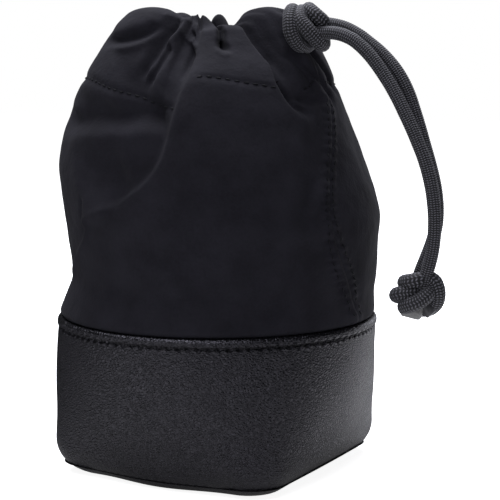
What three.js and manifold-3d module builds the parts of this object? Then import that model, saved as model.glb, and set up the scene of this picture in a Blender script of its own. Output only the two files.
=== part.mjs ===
// Drawstring lens pouch: a leather base, a gathered nylon upper and a braided drawcord with two knots.
// Millimetres, +Z up, origin at the middle of the underside, front face towards -Y, cord on the +X side.
import * as THREE from "three";
import { mergeVertices } from "three/addons/utils/BufferGeometryUtils.js";
import Module from "manifold-3d";

// Leather base: a rounded square at the floor that bulges and opens to a round rim
const BASE_SIDE = 76;
const BASE_CORNER = 10;
const BASE_ROUND = 9.5;
const BOTTOM_SEAM_HEIGHT = 3;
const RIM_RADIUS = 48.1;
const LEATHER_BULGE = 1.5;
const LEATHER_HEIGHT = 46.4;
const LEATHER_WALL = 1.4;
const HEM_THICKNESS = 2.2;
const HEM_DEPTH = 9;
const HEM_ROUND = 0.7;
const BOTTOM_THICKNESS = 1.6;

// Nylon upper: tucked behind the leather, widest at the belly, gathered at the cord
const PANEL_THICKNESS = 1;
const PANEL_TUCK = 8;
const PANEL_RISE = 4;
const BELLY_RADIUS = 47.9;
const BELLY_HEIGHT = 80;
const SHOULDER_RADIUS = 43.8;
const SHOULDER_HEIGHT = 99;
const STITCH_RADIUS = 38.4;
const CASING_DEPTH = 16.6;
const MOUTH_RADIUS = 28.4;
const FACING_RADIUS = 14.3;
const TOP_HEIGHT = 138.4;
const CORD_DROP = 6.8;
const CORD_HEIGHT = TOP_HEIGHT - CORD_DROP;
const STITCH_HEIGHT = CORD_HEIGHT - CASING_DEPTH;
const GATHER_DEPTH = 7;
const GATHER_START = 104;
const HEM_DIP = 5.6;
const CROWN_LEAN = 3;

// Gathers of the mouth in order round the axis, chosen by hand: degrees at the hem, share of the full depth,
// share of the hem's full dip, and degrees by which the gather has drifted at the casing's stitch line
const GATHERS = [
  [-125, 0, 0, 0],
  [-90, 0.45, 0.4, 0],
  [-77, 1, 0.4, 0],
  [-70, 0.5, 1, 0],
  [-37, 0.45, 1, 8],
  [-31, 0.95, 0.9, 8],
  [-20, 0.15, 0.05, 4],
  [-9, 0.75, 0.1, 0],
  [8, 0.2, 0.1, 0],
  [26, 0, 0.1, 0],
  [44, 0.9, 0.85, -4],
  [66, 0, 0, 0],
  [94, 0.95, 0.9, 4],
  [115, 0.05, 0, 0],
  [133, 0.9, 0.85, 0],
  [150, 0, 0, 0],
  [172, 0.8, 0.8, 0],
  [195, 0.1, 0.1, 0],
];

// Side seams: degrees from the +X axis, drifting forward between leather and casing
const SEAM_AT_LEATHER = -3;
const SEAM_AT_CASING = -6;
const SEAM_SWAY = -15;
const SWAY_POWER = 1.1;
const SEAM_GAP = 0.3;
const SEAM_ROW_OFFSET = 2;

// Layers inside the shell
const UPPER_FOAM = 2;
const LINING = 0.6;
const BOARD_THICKNESS = 1.5;
const FLOOR_FOAM = 4;
const TAPE_WIDTH = 9;
const TAPE_THICKNESS = 0.8;
const LAYER_GAP = 0.65;
const CLEARANCE = 0.3;

// Thread
const THREAD_RADIUS = 0.35;
const EDGE_STITCH_DROP = 2.5;
const THREAD_SIDES = 5;

// Drawcord, its cinch knot and its end knot
const CORD_DIAMETER = 3.8;
const CORD_Y = -5;
const CORD_SIDES = 8;
const LOOP_OPENING = 19;
const LEAD_END = 31.7;
const NECK_LENGTH = 2;
const KNOT_START = 26.4;
const KNOT_LENGTH = 14.6;
const KNOT_RADIUS = 7.2;
const KNOT_TURNS = 4;
const KNOT_CROWN = 0.6;
const STRAND_TURN = 115;
const END_KNOT_RADIUS = 6.7;
const END_KNOT_LENGTH = 10.6;
const END_KNOT_TURNS = 3;
const END_KNOT_CROWN = 1.2;
const TIP_LENGTH = 5;
const TIP_ANGLES = [72, -4];

// The tail's middle line from the cinch knot to the end knot, as X and drop below the cord, chosen by hand
const TAIL_ROUTE = [
  [46, 0],
  [50, 2.4],
  [55.5, 8.6],
  [60.5, 17.6],
  [65, 26.6],
  [69, 35.6],
  [71.5, 45.6],
  [72, 55.1],
  [70.5, 63.6],
  [68.4, 68.4],
];

// One turn of a knot in profile, as shares of its pitch: distance along the axis and depth below the crown
const TURN_PROFILE = [
  [0.08, 0.25],
  [0.35, 0],
  [0.65, 0],
  [0.92, 0.25],
];

// Steps of the faceted surfaces
const CORNER_STEPS = 4;
const FLAT_STEPS = 6;
const PANEL_STEPS = 48;
const FOAM_STEPS = 14;
const WALL_SPANS = 2;
const FOLD_STEPS = 6;
const FACING_STEPS = 3;
const LOOP_STEPS = 36;
const TAIL_STEPS = 30;
const KNOT_STEPS = 20;
const SEAM_STEPS = 14;
const NORMAL_STEP = 0.5;
const WELD = 1e-3;

const radians = THREE.MathUtils.degToRad;
const clamp = THREE.MathUtils.clamp;
const wasm = await Module();
wasm.setup();

const LEATHER = new THREE.MeshStandardMaterial({ color: 0x232325, roughness: 0.48, metalness: 0 });
const NYLON = new THREE.MeshStandardMaterial({ color: 0x1d1d21, roughness: 0.85, metalness: 0 });
const LINING_CLOTH = new THREE.MeshStandardMaterial({ color: 0x34343a, roughness: 0.9, metalness: 0 });
const FOAM = new THREE.MeshStandardMaterial({ color: 0x3a3a3c, roughness: 0.95, metalness: 0 });
const BOARD = new THREE.MeshStandardMaterial({ color: 0x6b5a45, roughness: 0.8, metalness: 0 });
const THREAD = new THREE.MeshStandardMaterial({ color: 0x17171a, roughness: 0.7, metalness: 0 });
const CORD = new THREE.MeshStandardMaterial({ color: 0x2b2b2d, roughness: 0.75, metalness: 0 });
const FUSED = new THREE.MeshStandardMaterial({ color: 0x4a4a4a, roughness: 0.4, metalness: 0 });

const pouch = new THREE.Group();

function addMesh(name, geometry, material) {
  geometry.computeVertexNormals();
  const mesh = new THREE.Mesh(geometry, material);
  mesh.name = name;
  pouch.add(mesh);
  return mesh;
}

// A closed solid through equal sections, each listing its outer points upwards and then its inner ones down.
// Every quad splits from its low corner to its high one, so that nested layers keep their distance.
function sectionSolid(sections, closed) {
  const count = sections[0].length;
  const corners = [];
  const quad = (a, b, c, d) => corners.push(a, b, c, a, c, d);
  const last = closed ? sections.length : sections.length - 1;
  for (let i = 0; i < last; i++) {
    const here = sections[i];
    const next = sections[(i + 1) % sections.length];
    for (let k = 0; k < count; k++) {
      const on = (k + 1) % count;
      if (here[on].z >= here[k].z) quad(here[k], next[k], next[on], here[on]);
      else quad(next[k], next[on], here[on], here[k]);
    }
  }
  if (!closed) {
    const first = sections[0];
    const end = sections[last];
    for (let k = 0; k < count / 2 - 1; k++) {
      quad(first[k], first[k + 1], first[count - 2 - k], first[count - 1 - k]);
      quad(end[k + 1], end[k], end[count - 1 - k], end[count - 2 - k]);
    }
  }
  return new THREE.BufferGeometry().setFromPoints(corners);
}

// A tube of round section along a curve.
function tube(points, radius, sides, steps) {
  const corners = Array.from({ length: sides }, (_, i) => {
    const angle = (2 * Math.PI * i) / sides;
    return new THREE.Vector2(radius * Math.cos(angle), radius * Math.sin(angle));
  });
  return new THREE.ExtrudeGeometry(new THREE.Shape(corners), {
    steps,
    bevelEnabled: false,
    extrudePath: new THREE.CatmullRomCurve3(points, false, "centripetal"),
  });
}

function straightTube(from, to, radius, sides) {
  return tube([from, from.clone().lerp(to, 0.5), to], radius, sides, 1);
}

function solidOf(geometry) {
  const bare = geometry.index ? geometry.toNonIndexed() : geometry.clone();
  bare.deleteAttribute("normal");
  bare.deleteAttribute("uv");
  const merged = mergeVertices(bare, WELD);
  const vertProperties = merged.getAttribute("position").array;
  const triVerts = new Uint32Array(merged.index.array);
  return new wasm.Manifold(new wasm.Mesh({ numProp: 3, vertProperties, triVerts }));
}

function cut(geometry, tools) {
  const solid = tools.reduce((body, tool) => body.subtract(solidOf(tool)), solidOf(geometry));
  const mesh = solid.getMesh();
  const made = new THREE.BufferGeometry();
  made.setAttribute("position", new THREE.BufferAttribute(mesh.vertProperties, 3));
  made.setIndex(new THREE.BufferAttribute(mesh.triVerts, 1));
  return made.toNonIndexed();
}

// Leather outline: the angles of the base's corners and flats, used by every ring of the base
function baseAngles() {
  const half = BASE_SIDE / 2;
  const flat = half - BASE_CORNER;
  const angles = [];
  for (let side = 0; side < 4; side++) {
    for (let i = 0; i < FLAT_STEPS; i++) {
      const along = THREE.MathUtils.lerp(-1, 1, i / FLAT_STEPS);
      angles.push((side * Math.PI) / 2 + along * Math.atan2(flat, half));
    }
    for (let i = 0; i < CORNER_STEPS; i++) {
      const turn = ((i / CORNER_STEPS) * Math.PI) / 2;
      const x = flat + BASE_CORNER * Math.cos(turn);
      const y = flat + BASE_CORNER * Math.sin(turn);
      angles.push((side * Math.PI) / 2 + Math.atan2(y, x));
    }
  }
  return angles;
}

const ANGLES = baseAngles();

// Distance from the axis to the rounded square of the base in one direction.
function squareRadius(angle) {
  const half = BASE_SIDE / 2;
  const flat = half - BASE_CORNER;
  const c = Math.abs(Math.cos(angle));
  const s = Math.abs(Math.sin(angle));
  const far = Math.max(c, s);
  const near = Math.min(c, s);
  if ((half / far) * near <= flat) return half / far;
  const reach = flat * (far + near);
  return reach + Math.sqrt(Math.max(0, reach * reach - 2 * flat * flat + BASE_CORNER * BASE_CORNER));
}

// How far the base's rounded foot stands in from its wall at a height.
function footInset(height, depth = 0) {
  const rise = Math.max(0, BASE_ROUND - height);
  const radius = BASE_ROUND - depth;
  return BASE_ROUND - Math.sqrt(Math.max(0, radius * radius - rise * rise));
}

function leatherRadius(angle, height) {
  const share = height / LEATHER_HEIGHT;
  const bulge = LEATHER_BULGE * Math.sin(Math.PI * clamp(share, 0, 1));
  return THREE.MathUtils.lerp(squareRadius(angle), RIM_RADIUS, share) + bulge;
}

// The gathered crown leans away from the knot.
function lean(height) {
  return CROWN_LEAN * THREE.MathUtils.smoothstep(height, BELLY_HEIGHT, CORD_HEIGHT);
}

function place(angle, radius, height) {
  return new THREE.Vector3(radius * Math.cos(angle) - lean(height), radius * Math.sin(angle), height);
}

function seamAngle(height) {
  const t = clamp((height - LEATHER_HEIGHT) / (STITCH_HEIGHT - LEATHER_HEIGHT), 0, 1);
  const drift = THREE.MathUtils.lerp(SEAM_AT_LEATHER, SEAM_AT_CASING, t);
  return radians(drift + SEAM_SWAY * Math.sin(Math.PI * t ** SWAY_POWER));
}

// Shares of the gathers' depth and of the hem's dip at an angle, between the two gathers beside it.
function gatherShares(angle, height) {
  const above = THREE.MathUtils.smoothstep(height, STITCH_HEIGHT, CORD_HEIGHT);
  const spots = GATHERS.map(([degrees, , , drift]) => degrees + drift * (1 - above));
  const turn = THREE.MathUtils.euclideanModulo(THREE.MathUtils.radToDeg(angle) - spots[0], 360);
  const i = spots.findLastIndex((spot) => spot - spots[0] <= turn);
  const next = (i + 1) % GATHERS.length;
  const span = THREE.MathUtils.euclideanModulo(spots[next] - spots[i], 360);
  const t = THREE.MathUtils.smoothstep(turn - spots[i] + spots[0], 0, span);
  const share = (k) => THREE.MathUtils.lerp(GATHERS[i][k], GATHERS[next][k], t);
  return { depth: share(1), dip: share(2) };
}

// How far the gathered cloth stands in at a height, which grows from the shoulder to the cord.
function gather(angle, height) {
  const grown = THREE.MathUtils.smoothstep(height, GATHER_START, CORD_HEIGHT);
  return -GATHER_DEPTH * grown * gatherShares(angle, height).depth;
}

// How far the hem's dip draws down a height of the casing.
function dip(angle, height) {
  const drawn = THREE.MathUtils.smoothstep(height, STITCH_HEIGHT, CORD_HEIGHT);
  return HEM_DIP * drawn * gatherShares(angle, height).dip;
}

// Middle radius of the nylon where it is tucked behind the leather's hem.
function tuckRadius(angle, height) {
  return leatherRadius(angle, height) - HEM_THICKNESS - LAYER_GAP - PANEL_THICKNESS / 2;
}

// The wall's outline from the leather to the cord, as radius and height
const WALL = new THREE.SplineCurve([
  new THREE.Vector2(RIM_RADIUS - HEM_THICKNESS, LEATHER_HEIGHT + PANEL_RISE),
  new THREE.Vector2(BELLY_RADIUS - PANEL_THICKNESS / 2, BELLY_HEIGHT),
  new THREE.Vector2(SHOULDER_RADIUS, SHOULDER_HEIGHT),
  new THREE.Vector2(STITCH_RADIUS, STITCH_HEIGHT),
  new THREE.Vector2(MOUTH_RADIUS, CORD_HEIGHT),
]).getPoints(4 * WALL_SPANS);
const STITCH_ROW = 3 * WALL_SPANS;

// Rows of the nylon's middle surface, as functions of the angle: radius and height
function tuckRows() {
  const heights = [LEATHER_HEIGHT - PANEL_TUCK, LEATHER_HEIGHT + 2 * CLEARANCE];
  return heights.map((height) => (angle) => [tuckRadius(angle, height), height]);
}

function wallRows(points) {
  return points.map(({ x, y }) => (angle) => [x + gather(angle, y), y - dip(angle, y)]);
}

// The hem turns over the cord in half an ellipse, from the outer wall to the facing.
function foldRows() {
  return Array.from({ length: FOLD_STEPS }, (_, i) => (angle) => {
    const turn = (Math.PI * (i + 1)) / FOLD_STEPS;
    const outer = MOUTH_RADIUS + gather(angle, CORD_HEIGHT);
    const middle = (outer + FACING_RADIUS) / 2;
    const reach = (outer - FACING_RADIUS) / 2;
    const rise = TOP_HEIGHT - PANEL_THICKNESS / 2 - CORD_HEIGHT;
    const brim = CORD_HEIGHT - dip(angle, CORD_HEIGHT);
    return [middle + reach * Math.cos(turn), brim + rise * Math.sin(turn)];
  });
}

// The facing runs back down inside the wall to the casing's stitch line.
const FACING_INSET = PANEL_THICKNESS + 2 * LAYER_GAP;

function facingRows() {
  return Array.from({ length: FACING_STEPS }, (_, i) => (angle) => {
    const t = (i + 1) / FACING_STEPS;
    const brim = CORD_HEIGHT - dip(angle, CORD_HEIGHT);
    const height = THREE.MathUtils.lerp(brim, STITCH_HEIGHT + PANEL_THICKNESS, t);
    const foot = STITCH_RADIUS - FACING_INSET + gather(angle, STITCH_HEIGHT);
    return [THREE.MathUtils.lerp(FACING_RADIUS, foot, t * t), height];
  });
}

// The casing starts a seam's gap above the stitch line, where the panel ends.
function casingPoints() {
  const rest = WALL.slice(STITCH_ROW + 1);
  const share = SEAM_GAP / (rest[0].y - STITCH_HEIGHT);
  return [WALL[STITCH_ROW].clone().lerp(rest[0], share), ...rest];
}

const PANEL_ROWS = [...tuckRows(), ...wallRows(WALL.slice(0, STITCH_ROW + 1))];
const CASING_ROWS = [...wallRows(casingPoints()), ...foldRows(), ...facingRows()];

// A point of a row's surface, moved off it by a distance along the surface's normal.
function surfacePoint(rows, index, angle, offset) {
  const at = (row, turn) => {
    const [radius, height] = rows[clamp(row, 0, rows.length - 1)](turn);
    return place(turn, radius, height);
  };
  const step = radians(NORMAL_STEP);
  const along = at(index, angle + step).sub(at(index, angle - step));
  const up = at(index + 1, angle).sub(at(index - 1, angle));
  return at(index, angle).addScaledVector(along.cross(up).normalize(), offset);
}

// Angles across a panel at a height, from the seam behind to the seam in front, short of both by a margin.
function panelAngle(share, row, turn, margin) {
  const [radius, height] = row(0);
  const gap = margin / radius;
  return seamAngle(height) + turn + THREE.MathUtils.lerp(gap - Math.PI, -gap, share);
}

function panelSheet(rows, turn, steps, margin, outside, inside) {
  const sections = Array.from({ length: steps + 1 }, (_, i) => {
    const side = (offset) =>
      rows.map((row, k) => surfacePoint(rows, k, panelAngle(i / steps, row, turn, margin), offset));
    return [...side(outside), ...side(inside).reverse()];
  });
  return sectionSolid(sections, false);
}

// The slit in the seam where both strands leave the casing, starting between its two layers
const LOOP_RADIUS = (MOUTH_RADIUS - GATHER_DEPTH + FACING_RADIUS) / 2;
const LEAD_START = LOOP_RADIUS - CROWN_LEAN + CLEARANCE;

function exitSlit() {
  const radius = CORD_DIAMETER + CLEARANCE + LAYER_GAP;
  const from = new THREE.Vector3(LEAD_START - LAYER_GAP, CORD_Y, CORD_HEIGHT);
  const to = new THREE.Vector3(MOUTH_RADIUS + CORD_DIAMETER, CORD_Y, CORD_HEIGHT);
  return straightTube(from, to, radius, 2 * CORD_SIDES);
}

function nylonSheet(rows, turn) {
  const half = PANEL_THICKNESS / 2;
  return panelSheet(rows, turn, PANEL_STEPS, SEAM_GAP / 2, half, -half);
}

for (const [name, turn] of [["front", 0], ["back", Math.PI]]) {
  addMesh(`nylon_${name}`, nylonSheet(PANEL_ROWS, turn), NYLON);
  addMesh(`casing_${name}`, cut(nylonSheet(CASING_ROWS, turn), [exitSlit()]), NYLON);
}

// Foam and seam tape lie behind the nylon, up to the shoulder
const BACKED_ROWS = PANEL_ROWS.slice(0, -1);
const BACK_FACE = -PANEL_THICKNESS / 2 - LAYER_GAP;
const FOAM_MARGIN = TAPE_WIDTH / 2 + LAYER_GAP;

function foamPanel(turn) {
  return panelSheet(BACKED_ROWS, turn, FOAM_STEPS, FOAM_MARGIN, BACK_FACE, BACK_FACE - UPPER_FOAM);
}

function seamTape(turn) {
  const sections = [-1, 0, 1].map((side) => {
    const face = (offset) =>
      BACKED_ROWS.map((row, k) => {
        const [radius, height] = row(0);
        const angle = seamAngle(height) + turn + (side * TAPE_WIDTH) / 2 / radius;
        return surfacePoint(BACKED_ROWS, k, angle, offset);
      });
    return [...face(BACK_FACE), ...face(BACK_FACE - TAPE_THICKNESS).reverse()];
  });
  return sectionSolid(sections, false);
}

addMesh("foam_front", foamPanel(0), FOAM);
addMesh("foam_back", foamPanel(Math.PI), FOAM);
addMesh("seam_tape_right", seamTape(0), NYLON);
addMesh("seam_tape_left", seamTape(Math.PI), NYLON);

// Heights at which every layer of the base wall has a ring, from the rounded foot to the hem's lower edge
const HEM_FOOT = LEATHER_HEIGHT - HEM_DEPTH;
const WALL_LEVELS = [1, 2].map((i) => THREE.MathUtils.lerp(BASE_ROUND, HEM_FOOT, i / 3));

// Leather wall, its hem turned in at the top
function leatherWall() {
  const sections = ANGLES.map((angle) => {
    const ring = (height, inset) => place(angle, leatherRadius(angle, height) - inset, height);
    const low = BOTTOM_SEAM_HEIGHT + CLEARANCE;
    const step = HEM_THICKNESS - LEATHER_WALL;
    const outer = [BASE_ROUND, ...WALL_LEVELS, HEM_FOOT, LEATHER_HEIGHT - HEM_ROUND];
    const inner = [HEM_FOOT - step, ...WALL_LEVELS.toReversed(), BASE_ROUND];
    return [
      ring(low, footInset(low)),
      ...outer.map((height) => ring(height, 0)),
      ring(LEATHER_HEIGHT, HEM_ROUND),
      ring(LEATHER_HEIGHT, HEM_THICKNESS - HEM_ROUND),
      ring(LEATHER_HEIGHT - HEM_ROUND, HEM_THICKNESS),
      ring(HEM_FOOT, HEM_THICKNESS),
      ...inner.map((height) => ring(height, LEATHER_WALL)),
      ring(low, footInset(low, LEATHER_WALL)),
    ];
  });
  return sectionSolid(sections, true);
}

addMesh("leather_wall", leatherWall(), LEATHER);

// Leather bottom: a flat panel whose rounded edge turns up to the seam
function leatherBottom() {
  const outside = [BOTTOM_SEAM_HEIGHT, BOTTOM_SEAM_HEIGHT / 2, BOTTOM_SEAM_HEIGHT / 6, 0];
  const inside = [BOTTOM_THICKNESS, (BOTTOM_THICKNESS + BOTTOM_SEAM_HEIGHT) / 2, BOTTOM_SEAM_HEIGHT];
  const ring = (height, depth) =>
    ANGLES.map((angle) => place(angle, leatherRadius(angle, height) - footInset(height, depth), height));
  const rings = [...inside.map((z) => ring(z, BOTTOM_THICKNESS)), ...outside.map((z) => ring(z, 0))];
  const corners = [];
  const around = ANGLES.length;
  for (let r = 0; r < rings.length - 1; r++) {
    for (let i = 0; i < around; i++) {
      const next = (i + 1) % around;
      const [a, b, c, d] = [rings[r][i], rings[r + 1][i], rings[r + 1][next], rings[r][next]];
      corners.push(a, b, c, a, c, d);
    }
  }
  const top = new THREE.Vector3(0, 0, BOTTOM_THICKNESS);
  const under = new THREE.Vector3(0, 0, 0);
  for (let i = 0; i < around; i++) {
    const next = (i + 1) % around;
    corners.push(top, rings[0][i], rings[0][next]);
    corners.push(under, rings.at(-1)[next], rings.at(-1)[i]);
  }
  return new THREE.BufferGeometry().setFromPoints(corners);
}

addMesh("leather_bottom", leatherBottom(), LEATHER);

// Flat layers on the bottom, each with the base's outline
function slab(inset, low, thickness) {
  const corners = ANGLES.map((angle) => {
    const radius = leatherRadius(angle, low) - inset;
    return new THREE.Vector2(radius * Math.cos(angle), radius * Math.sin(angle));
  });
  const geometry = new THREE.ExtrudeGeometry(new THREE.Shape(corners), {
    depth: thickness,
    bevelEnabled: false,
  });
  return geometry.translate(0, 0, low);
}

const BOARD_LOW = BOTTOM_THICKNESS + CLEARANCE;
const FOAM_LOW = BOARD_LOW + BOARD_THICKNESS + CLEARANCE;
const FLOOR_LOW = FOAM_LOW + FLOOR_FOAM + CLEARANCE;
const SLEEVE_LOW = FLOOR_LOW + LINING + CLEARANCE;
const LINING_INSET = HEM_THICKNESS + PANEL_THICKNESS + UPPER_FOAM + 3 * LAYER_GAP;
const WALL_FOAM = LINING_INSET - LEATHER_WALL - 2 * LAYER_GAP;

addMesh("stiffener_board", slab(BASE_ROUND, BOARD_LOW, BOARD_THICKNESS), BOARD);
addMesh("floor_foam", slab(footInset(FOAM_LOW, LEATHER_WALL) + LAYER_GAP, FOAM_LOW, FLOOR_FOAM), FOAM);
addMesh("lining_floor", slab(LINING_INSET + CLEARANCE, FLOOR_LOW, LINING), LINING_CLOTH);

// Foam that stiffens the leather wall, from the rounded foot up to the tucked nylon
function wallFoam() {
  const heights = [Math.max(FLOOR_LOW, BASE_ROUND), ...WALL_LEVELS, HEM_FOOT - HEM_THICKNESS];
  const sections = ANGLES.map((angle) => {
    const ring = (height, inset) => place(angle, leatherRadius(angle, height) - inset, height);
    const outer = heights.map((z) => ring(z, LEATHER_WALL + LAYER_GAP));
    const inner = heights.map((z) => ring(z, LEATHER_WALL + LAYER_GAP + WALL_FOAM));
    return [...outer, ...inner.reverse()];
  });
  return sectionSolid(sections, true);
}

addMesh("wall_foam", wallFoam(), FOAM);

// Lining sleeve from the floor to the casing's stitch line, inside the foam
function liningSleeve() {
  const upperInset = PANEL_THICKNESS / 2 + UPPER_FOAM + 3 * LAYER_GAP;
  const heights = [SLEEVE_LOW, ...WALL_LEVELS, HEM_FOOT, LEATHER_HEIGHT];
  const base = heights.map((z) => (angle) => [leatherRadius(angle, z) - LINING_INSET, z]);
  const upper = WALL.slice(0, STITCH_ROW).map((point) => (angle) => [
    point.x + gather(angle, point.y) - upperInset,
    point.y,
  ]);
  const top = (angle) => [
    STITCH_RADIUS + gather(angle, STITCH_HEIGHT) - FACING_INSET,
    STITCH_HEIGHT - LAYER_GAP,
  ];
  const rows = [...base, ...upper, top];
  const sections = ANGLES.map((angle) => {
    const face = (depth) =>
      rows.map((row) => {
        const [radius, height] = row(angle);
        return place(angle, radius - depth, height);
      });
    return [...face(0), ...face(LINING).reverse()];
  });
  return sectionSolid(sections, true);
}

addMesh("lining_sleeve", liningSleeve(), LINING_CLOTH);

// Threads lie on the cloth and leather that they hold
const THREAD_OFFSET = THREAD_RADIUS + CLEARANCE;

function threadRing(height, inset) {
  const sections = ANGLES.map((angle) => {
    const radius = leatherRadius(angle, height) - inset + THREAD_OFFSET;
    return Array.from({ length: THREAD_SIDES }, (_, i) => {
      const turn = (2 * Math.PI * i) / THREAD_SIDES;
      const out = radius + THREAD_RADIUS * Math.cos(turn);
      return place(angle, out, height + THREAD_RADIUS * Math.sin(turn));
    });
  });
  return sectionSolid(sections, true);
}

const EDGE_STITCH_HEIGHT = LEATHER_HEIGHT - EDGE_STITCH_DROP;
const FOOT_STITCH_HEIGHT = BOTTOM_SEAM_HEIGHT + CLEARANCE + 2 * THREAD_RADIUS;
addMesh("edge_thread", threadRing(EDGE_STITCH_HEIGHT, 0), THREAD);
addMesh("foot_thread", threadRing(FOOT_STITCH_HEIGHT, footInset(FOOT_STITCH_HEIGHT)), THREAD);

const THREAD_FACE = PANEL_THICKNESS / 2 + THREAD_OFFSET;
const FIRST_WALL_ROW = tuckRows().length;

function casingThread(turn) {
  const row = PANEL_ROWS.length - 1;
  const points = Array.from({ length: PANEL_STEPS + 1 }, (_, i) => {
    const angle = panelAngle(i / PANEL_STEPS, PANEL_ROWS[row], turn, FOAM_MARGIN);
    return surfacePoint(PANEL_ROWS, row, angle, THREAD_FACE);
  });
  return tube(points, THREAD_RADIUS, THREAD_SIDES, PANEL_STEPS);
}

function seamThread(turn, side) {
  const points = BACKED_ROWS.slice(FIRST_WALL_ROW).map((row, k) => {
    const [radius, height] = row(0);
    const angle = seamAngle(height) + turn + (side * SEAM_ROW_OFFSET) / radius;
    return surfacePoint(BACKED_ROWS, FIRST_WALL_ROW + k, angle, THREAD_FACE);
  });
  return tube(points, THREAD_RADIUS, THREAD_SIDES, SEAM_STEPS);
}

addMesh("casing_thread_front", casingThread(0), THREAD);
addMesh("casing_thread_back", casingThread(Math.PI), THREAD);
for (const [name, turn] of [["right", 0], ["left", Math.PI]]) {
  addMesh(`seam_thread_${name}_1`, seamThread(turn, -1), THREAD);
  addMesh(`seam_thread_${name}_2`, seamThread(turn, 1), THREAD);
}

// Drawcord loop inside the casing, open where its two ends turn out as strands
const CORD_RADIUS = CORD_DIAMETER / 2;
const STRAND_OFFSET = CORD_RADIUS + CLEARANCE / 2;

function drawcordLoop() {
  const start = seamAngle(CORD_HEIGHT) + radians(LOOP_OPENING);
  const sweep = 2 * Math.PI - 2 * radians(LOOP_OPENING);
  const points = Array.from({ length: LOOP_STEPS + 1 }, (_, i) => {
    const angle = start + (sweep * i) / LOOP_STEPS;
    return place(angle, LOOP_RADIUS, CORD_HEIGHT - dip(angle, CORD_HEIGHT));
  });
  return tube(points, CORD_RADIUS, CORD_SIDES, LOOP_STEPS);
}

addMesh("drawcord_loop", drawcordLoop(), CORD);

// Straight strands through the slit and the cinch knot: side 1 runs above, side -1 below
function strandPoint(x, side) {
  return new THREE.Vector3(x, CORD_Y, CORD_HEIGHT + side * STRAND_OFFSET);
}

function strandPiece(from, to, side) {
  return straightTube(strandPoint(from, side), strandPoint(to, side), CORD_RADIUS, CORD_SIDES);
}

const NECK_START = LEAD_END + CLEARANCE;
const TAIL_START = NECK_START + NECK_LENGTH + CLEARANCE;
const STRANDS = [["a", 1], ["b", -1]];
for (const [name, side] of STRANDS) {
  addMesh(`lead_${name}`, strandPiece(LEAD_START, LEAD_END, side), CORD);
  addMesh(`neck_${name}`, strandPiece(NECK_START, NECK_START + NECK_LENGTH, side), CORD);
}

// The two strands lie in the cord's plane at both knots and turn about each other between them.
function tailCurve() {
  const start = new THREE.Vector3(TAIL_START, CORD_Y, CORD_HEIGHT);
  const straight = new THREE.Vector3((TAIL_START + TAIL_ROUTE[0][0]) / 2, CORD_Y, CORD_HEIGHT);
  const rest = TAIL_ROUTE.map(([x, drop]) => new THREE.Vector3(x, CORD_Y, CORD_HEIGHT - drop));
  return new THREE.CatmullRomCurve3([start, straight, ...rest], false, "centripetal");
}

const TAIL = tailCurve();

function tailStrand(side) {
  const across = new THREE.Vector3(0, 1, 0);
  const straightShare = (TAIL_ROUTE[0][0] - TAIL_START) / TAIL.getLength();
  const points = Array.from({ length: TAIL_STEPS + 1 }, (_, i) => {
    const share = i / TAIL_STEPS;
    const free = clamp((share - straightShare) / (1 - straightShare), 0, 1);
    const turn = radians(STRAND_TURN) * Math.sin(Math.PI * free);
    const outward = across.clone().cross(TAIL.getTangentAt(share)).negate();
    const offset = outward.multiplyScalar(Math.cos(turn)).addScaledVector(across, Math.sin(turn));
    return TAIL.getPointAt(share).addScaledVector(offset, side * STRAND_OFFSET);
  });
  return tube(points, CORD_RADIUS, CORD_SIDES, TAIL_STEPS);
}

for (const [name, side] of STRANDS) {
  addMesh(`tail_${name}`, tailStrand(side), CORD);
}

// Rounded turns of a knot along its axis, as radius and distance. The outer turns are lower by the crown.
function knotTurns(radius, length, turns, crown) {
  const pitch = length / turns;
  const points = [];
  for (let i = 0; i < turns; i++) {
    const crest = radius - crown * Math.abs((2 * (i + 0.5)) / turns - 1);
    for (const [along, depth] of TURN_PROFILE) {
      points.push(new THREE.Vector2(crest - depth * pitch, (i + along) * pitch));
    }
  }
  return points;
}

// The cinch knot's turns close round a bore in which both strands slide and roll.
function cinchKnot() {
  const bore = STRAND_OFFSET + CORD_RADIUS + CLEARANCE;
  const low = new THREE.Vector2(bore, 0);
  const high = new THREE.Vector2(bore, KNOT_LENGTH);
  const profile = [low, ...knotTurns(KNOT_RADIUS, KNOT_LENGTH, KNOT_TURNS, KNOT_CROWN), high, low];
  return new THREE.LatheGeometry(profile, KNOT_STEPS).rotateZ(-Math.PI / 2);
}

addMesh("cinch_knot", cinchKnot(), CORD).position.set(KNOT_START, CORD_Y, CORD_HEIGHT);

// The end knot hangs along the tail's last direction, with the two fused tips seated in its far side
function endKnotPlace() {
  const along = TAIL.getTangentAt(1);
  const across = new THREE.Vector3(0, 1, 0);
  const start = TAIL.getPointAt(1).addScaledVector(along, CLEARANCE);
  return new THREE.Matrix4().makeBasis(along.clone().cross(across), along, across).setPosition(start);
}

// A tip leaves the knot in the cord's plane, half of it seated. Its socket is larger by a clearance.
function tip(angle, clearance) {
  const direction = new THREE.Vector3(Math.sin(radians(angle)), Math.cos(radians(angle)), 0);
  const middle = new THREE.Vector3(0, END_KNOT_LENGTH / 2, 0);
  const surface = Math.hypot(END_KNOT_RADIUS * direction.x, (END_KNOT_LENGTH / 2) * direction.y);
  const seat = middle.clone().addScaledVector(direction, surface - TIP_LENGTH / 2 - clearance);
  const end = middle.clone().addScaledVector(direction, surface + TIP_LENGTH / 2 + clearance);
  return straightTube(seat, end, CORD_RADIUS + clearance, CORD_SIDES);
}

function endKnot() {
  const top = new THREE.Vector2(0, 0);
  const under = new THREE.Vector2(0, END_KNOT_LENGTH);
  const turns = knotTurns(END_KNOT_RADIUS, END_KNOT_LENGTH, END_KNOT_TURNS, END_KNOT_CROWN);
  const body = new THREE.LatheGeometry([top, ...turns, under], KNOT_STEPS);
  return cut(body, TIP_ANGLES.map((angle) => tip(angle, CLEARANCE)));
}

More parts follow.
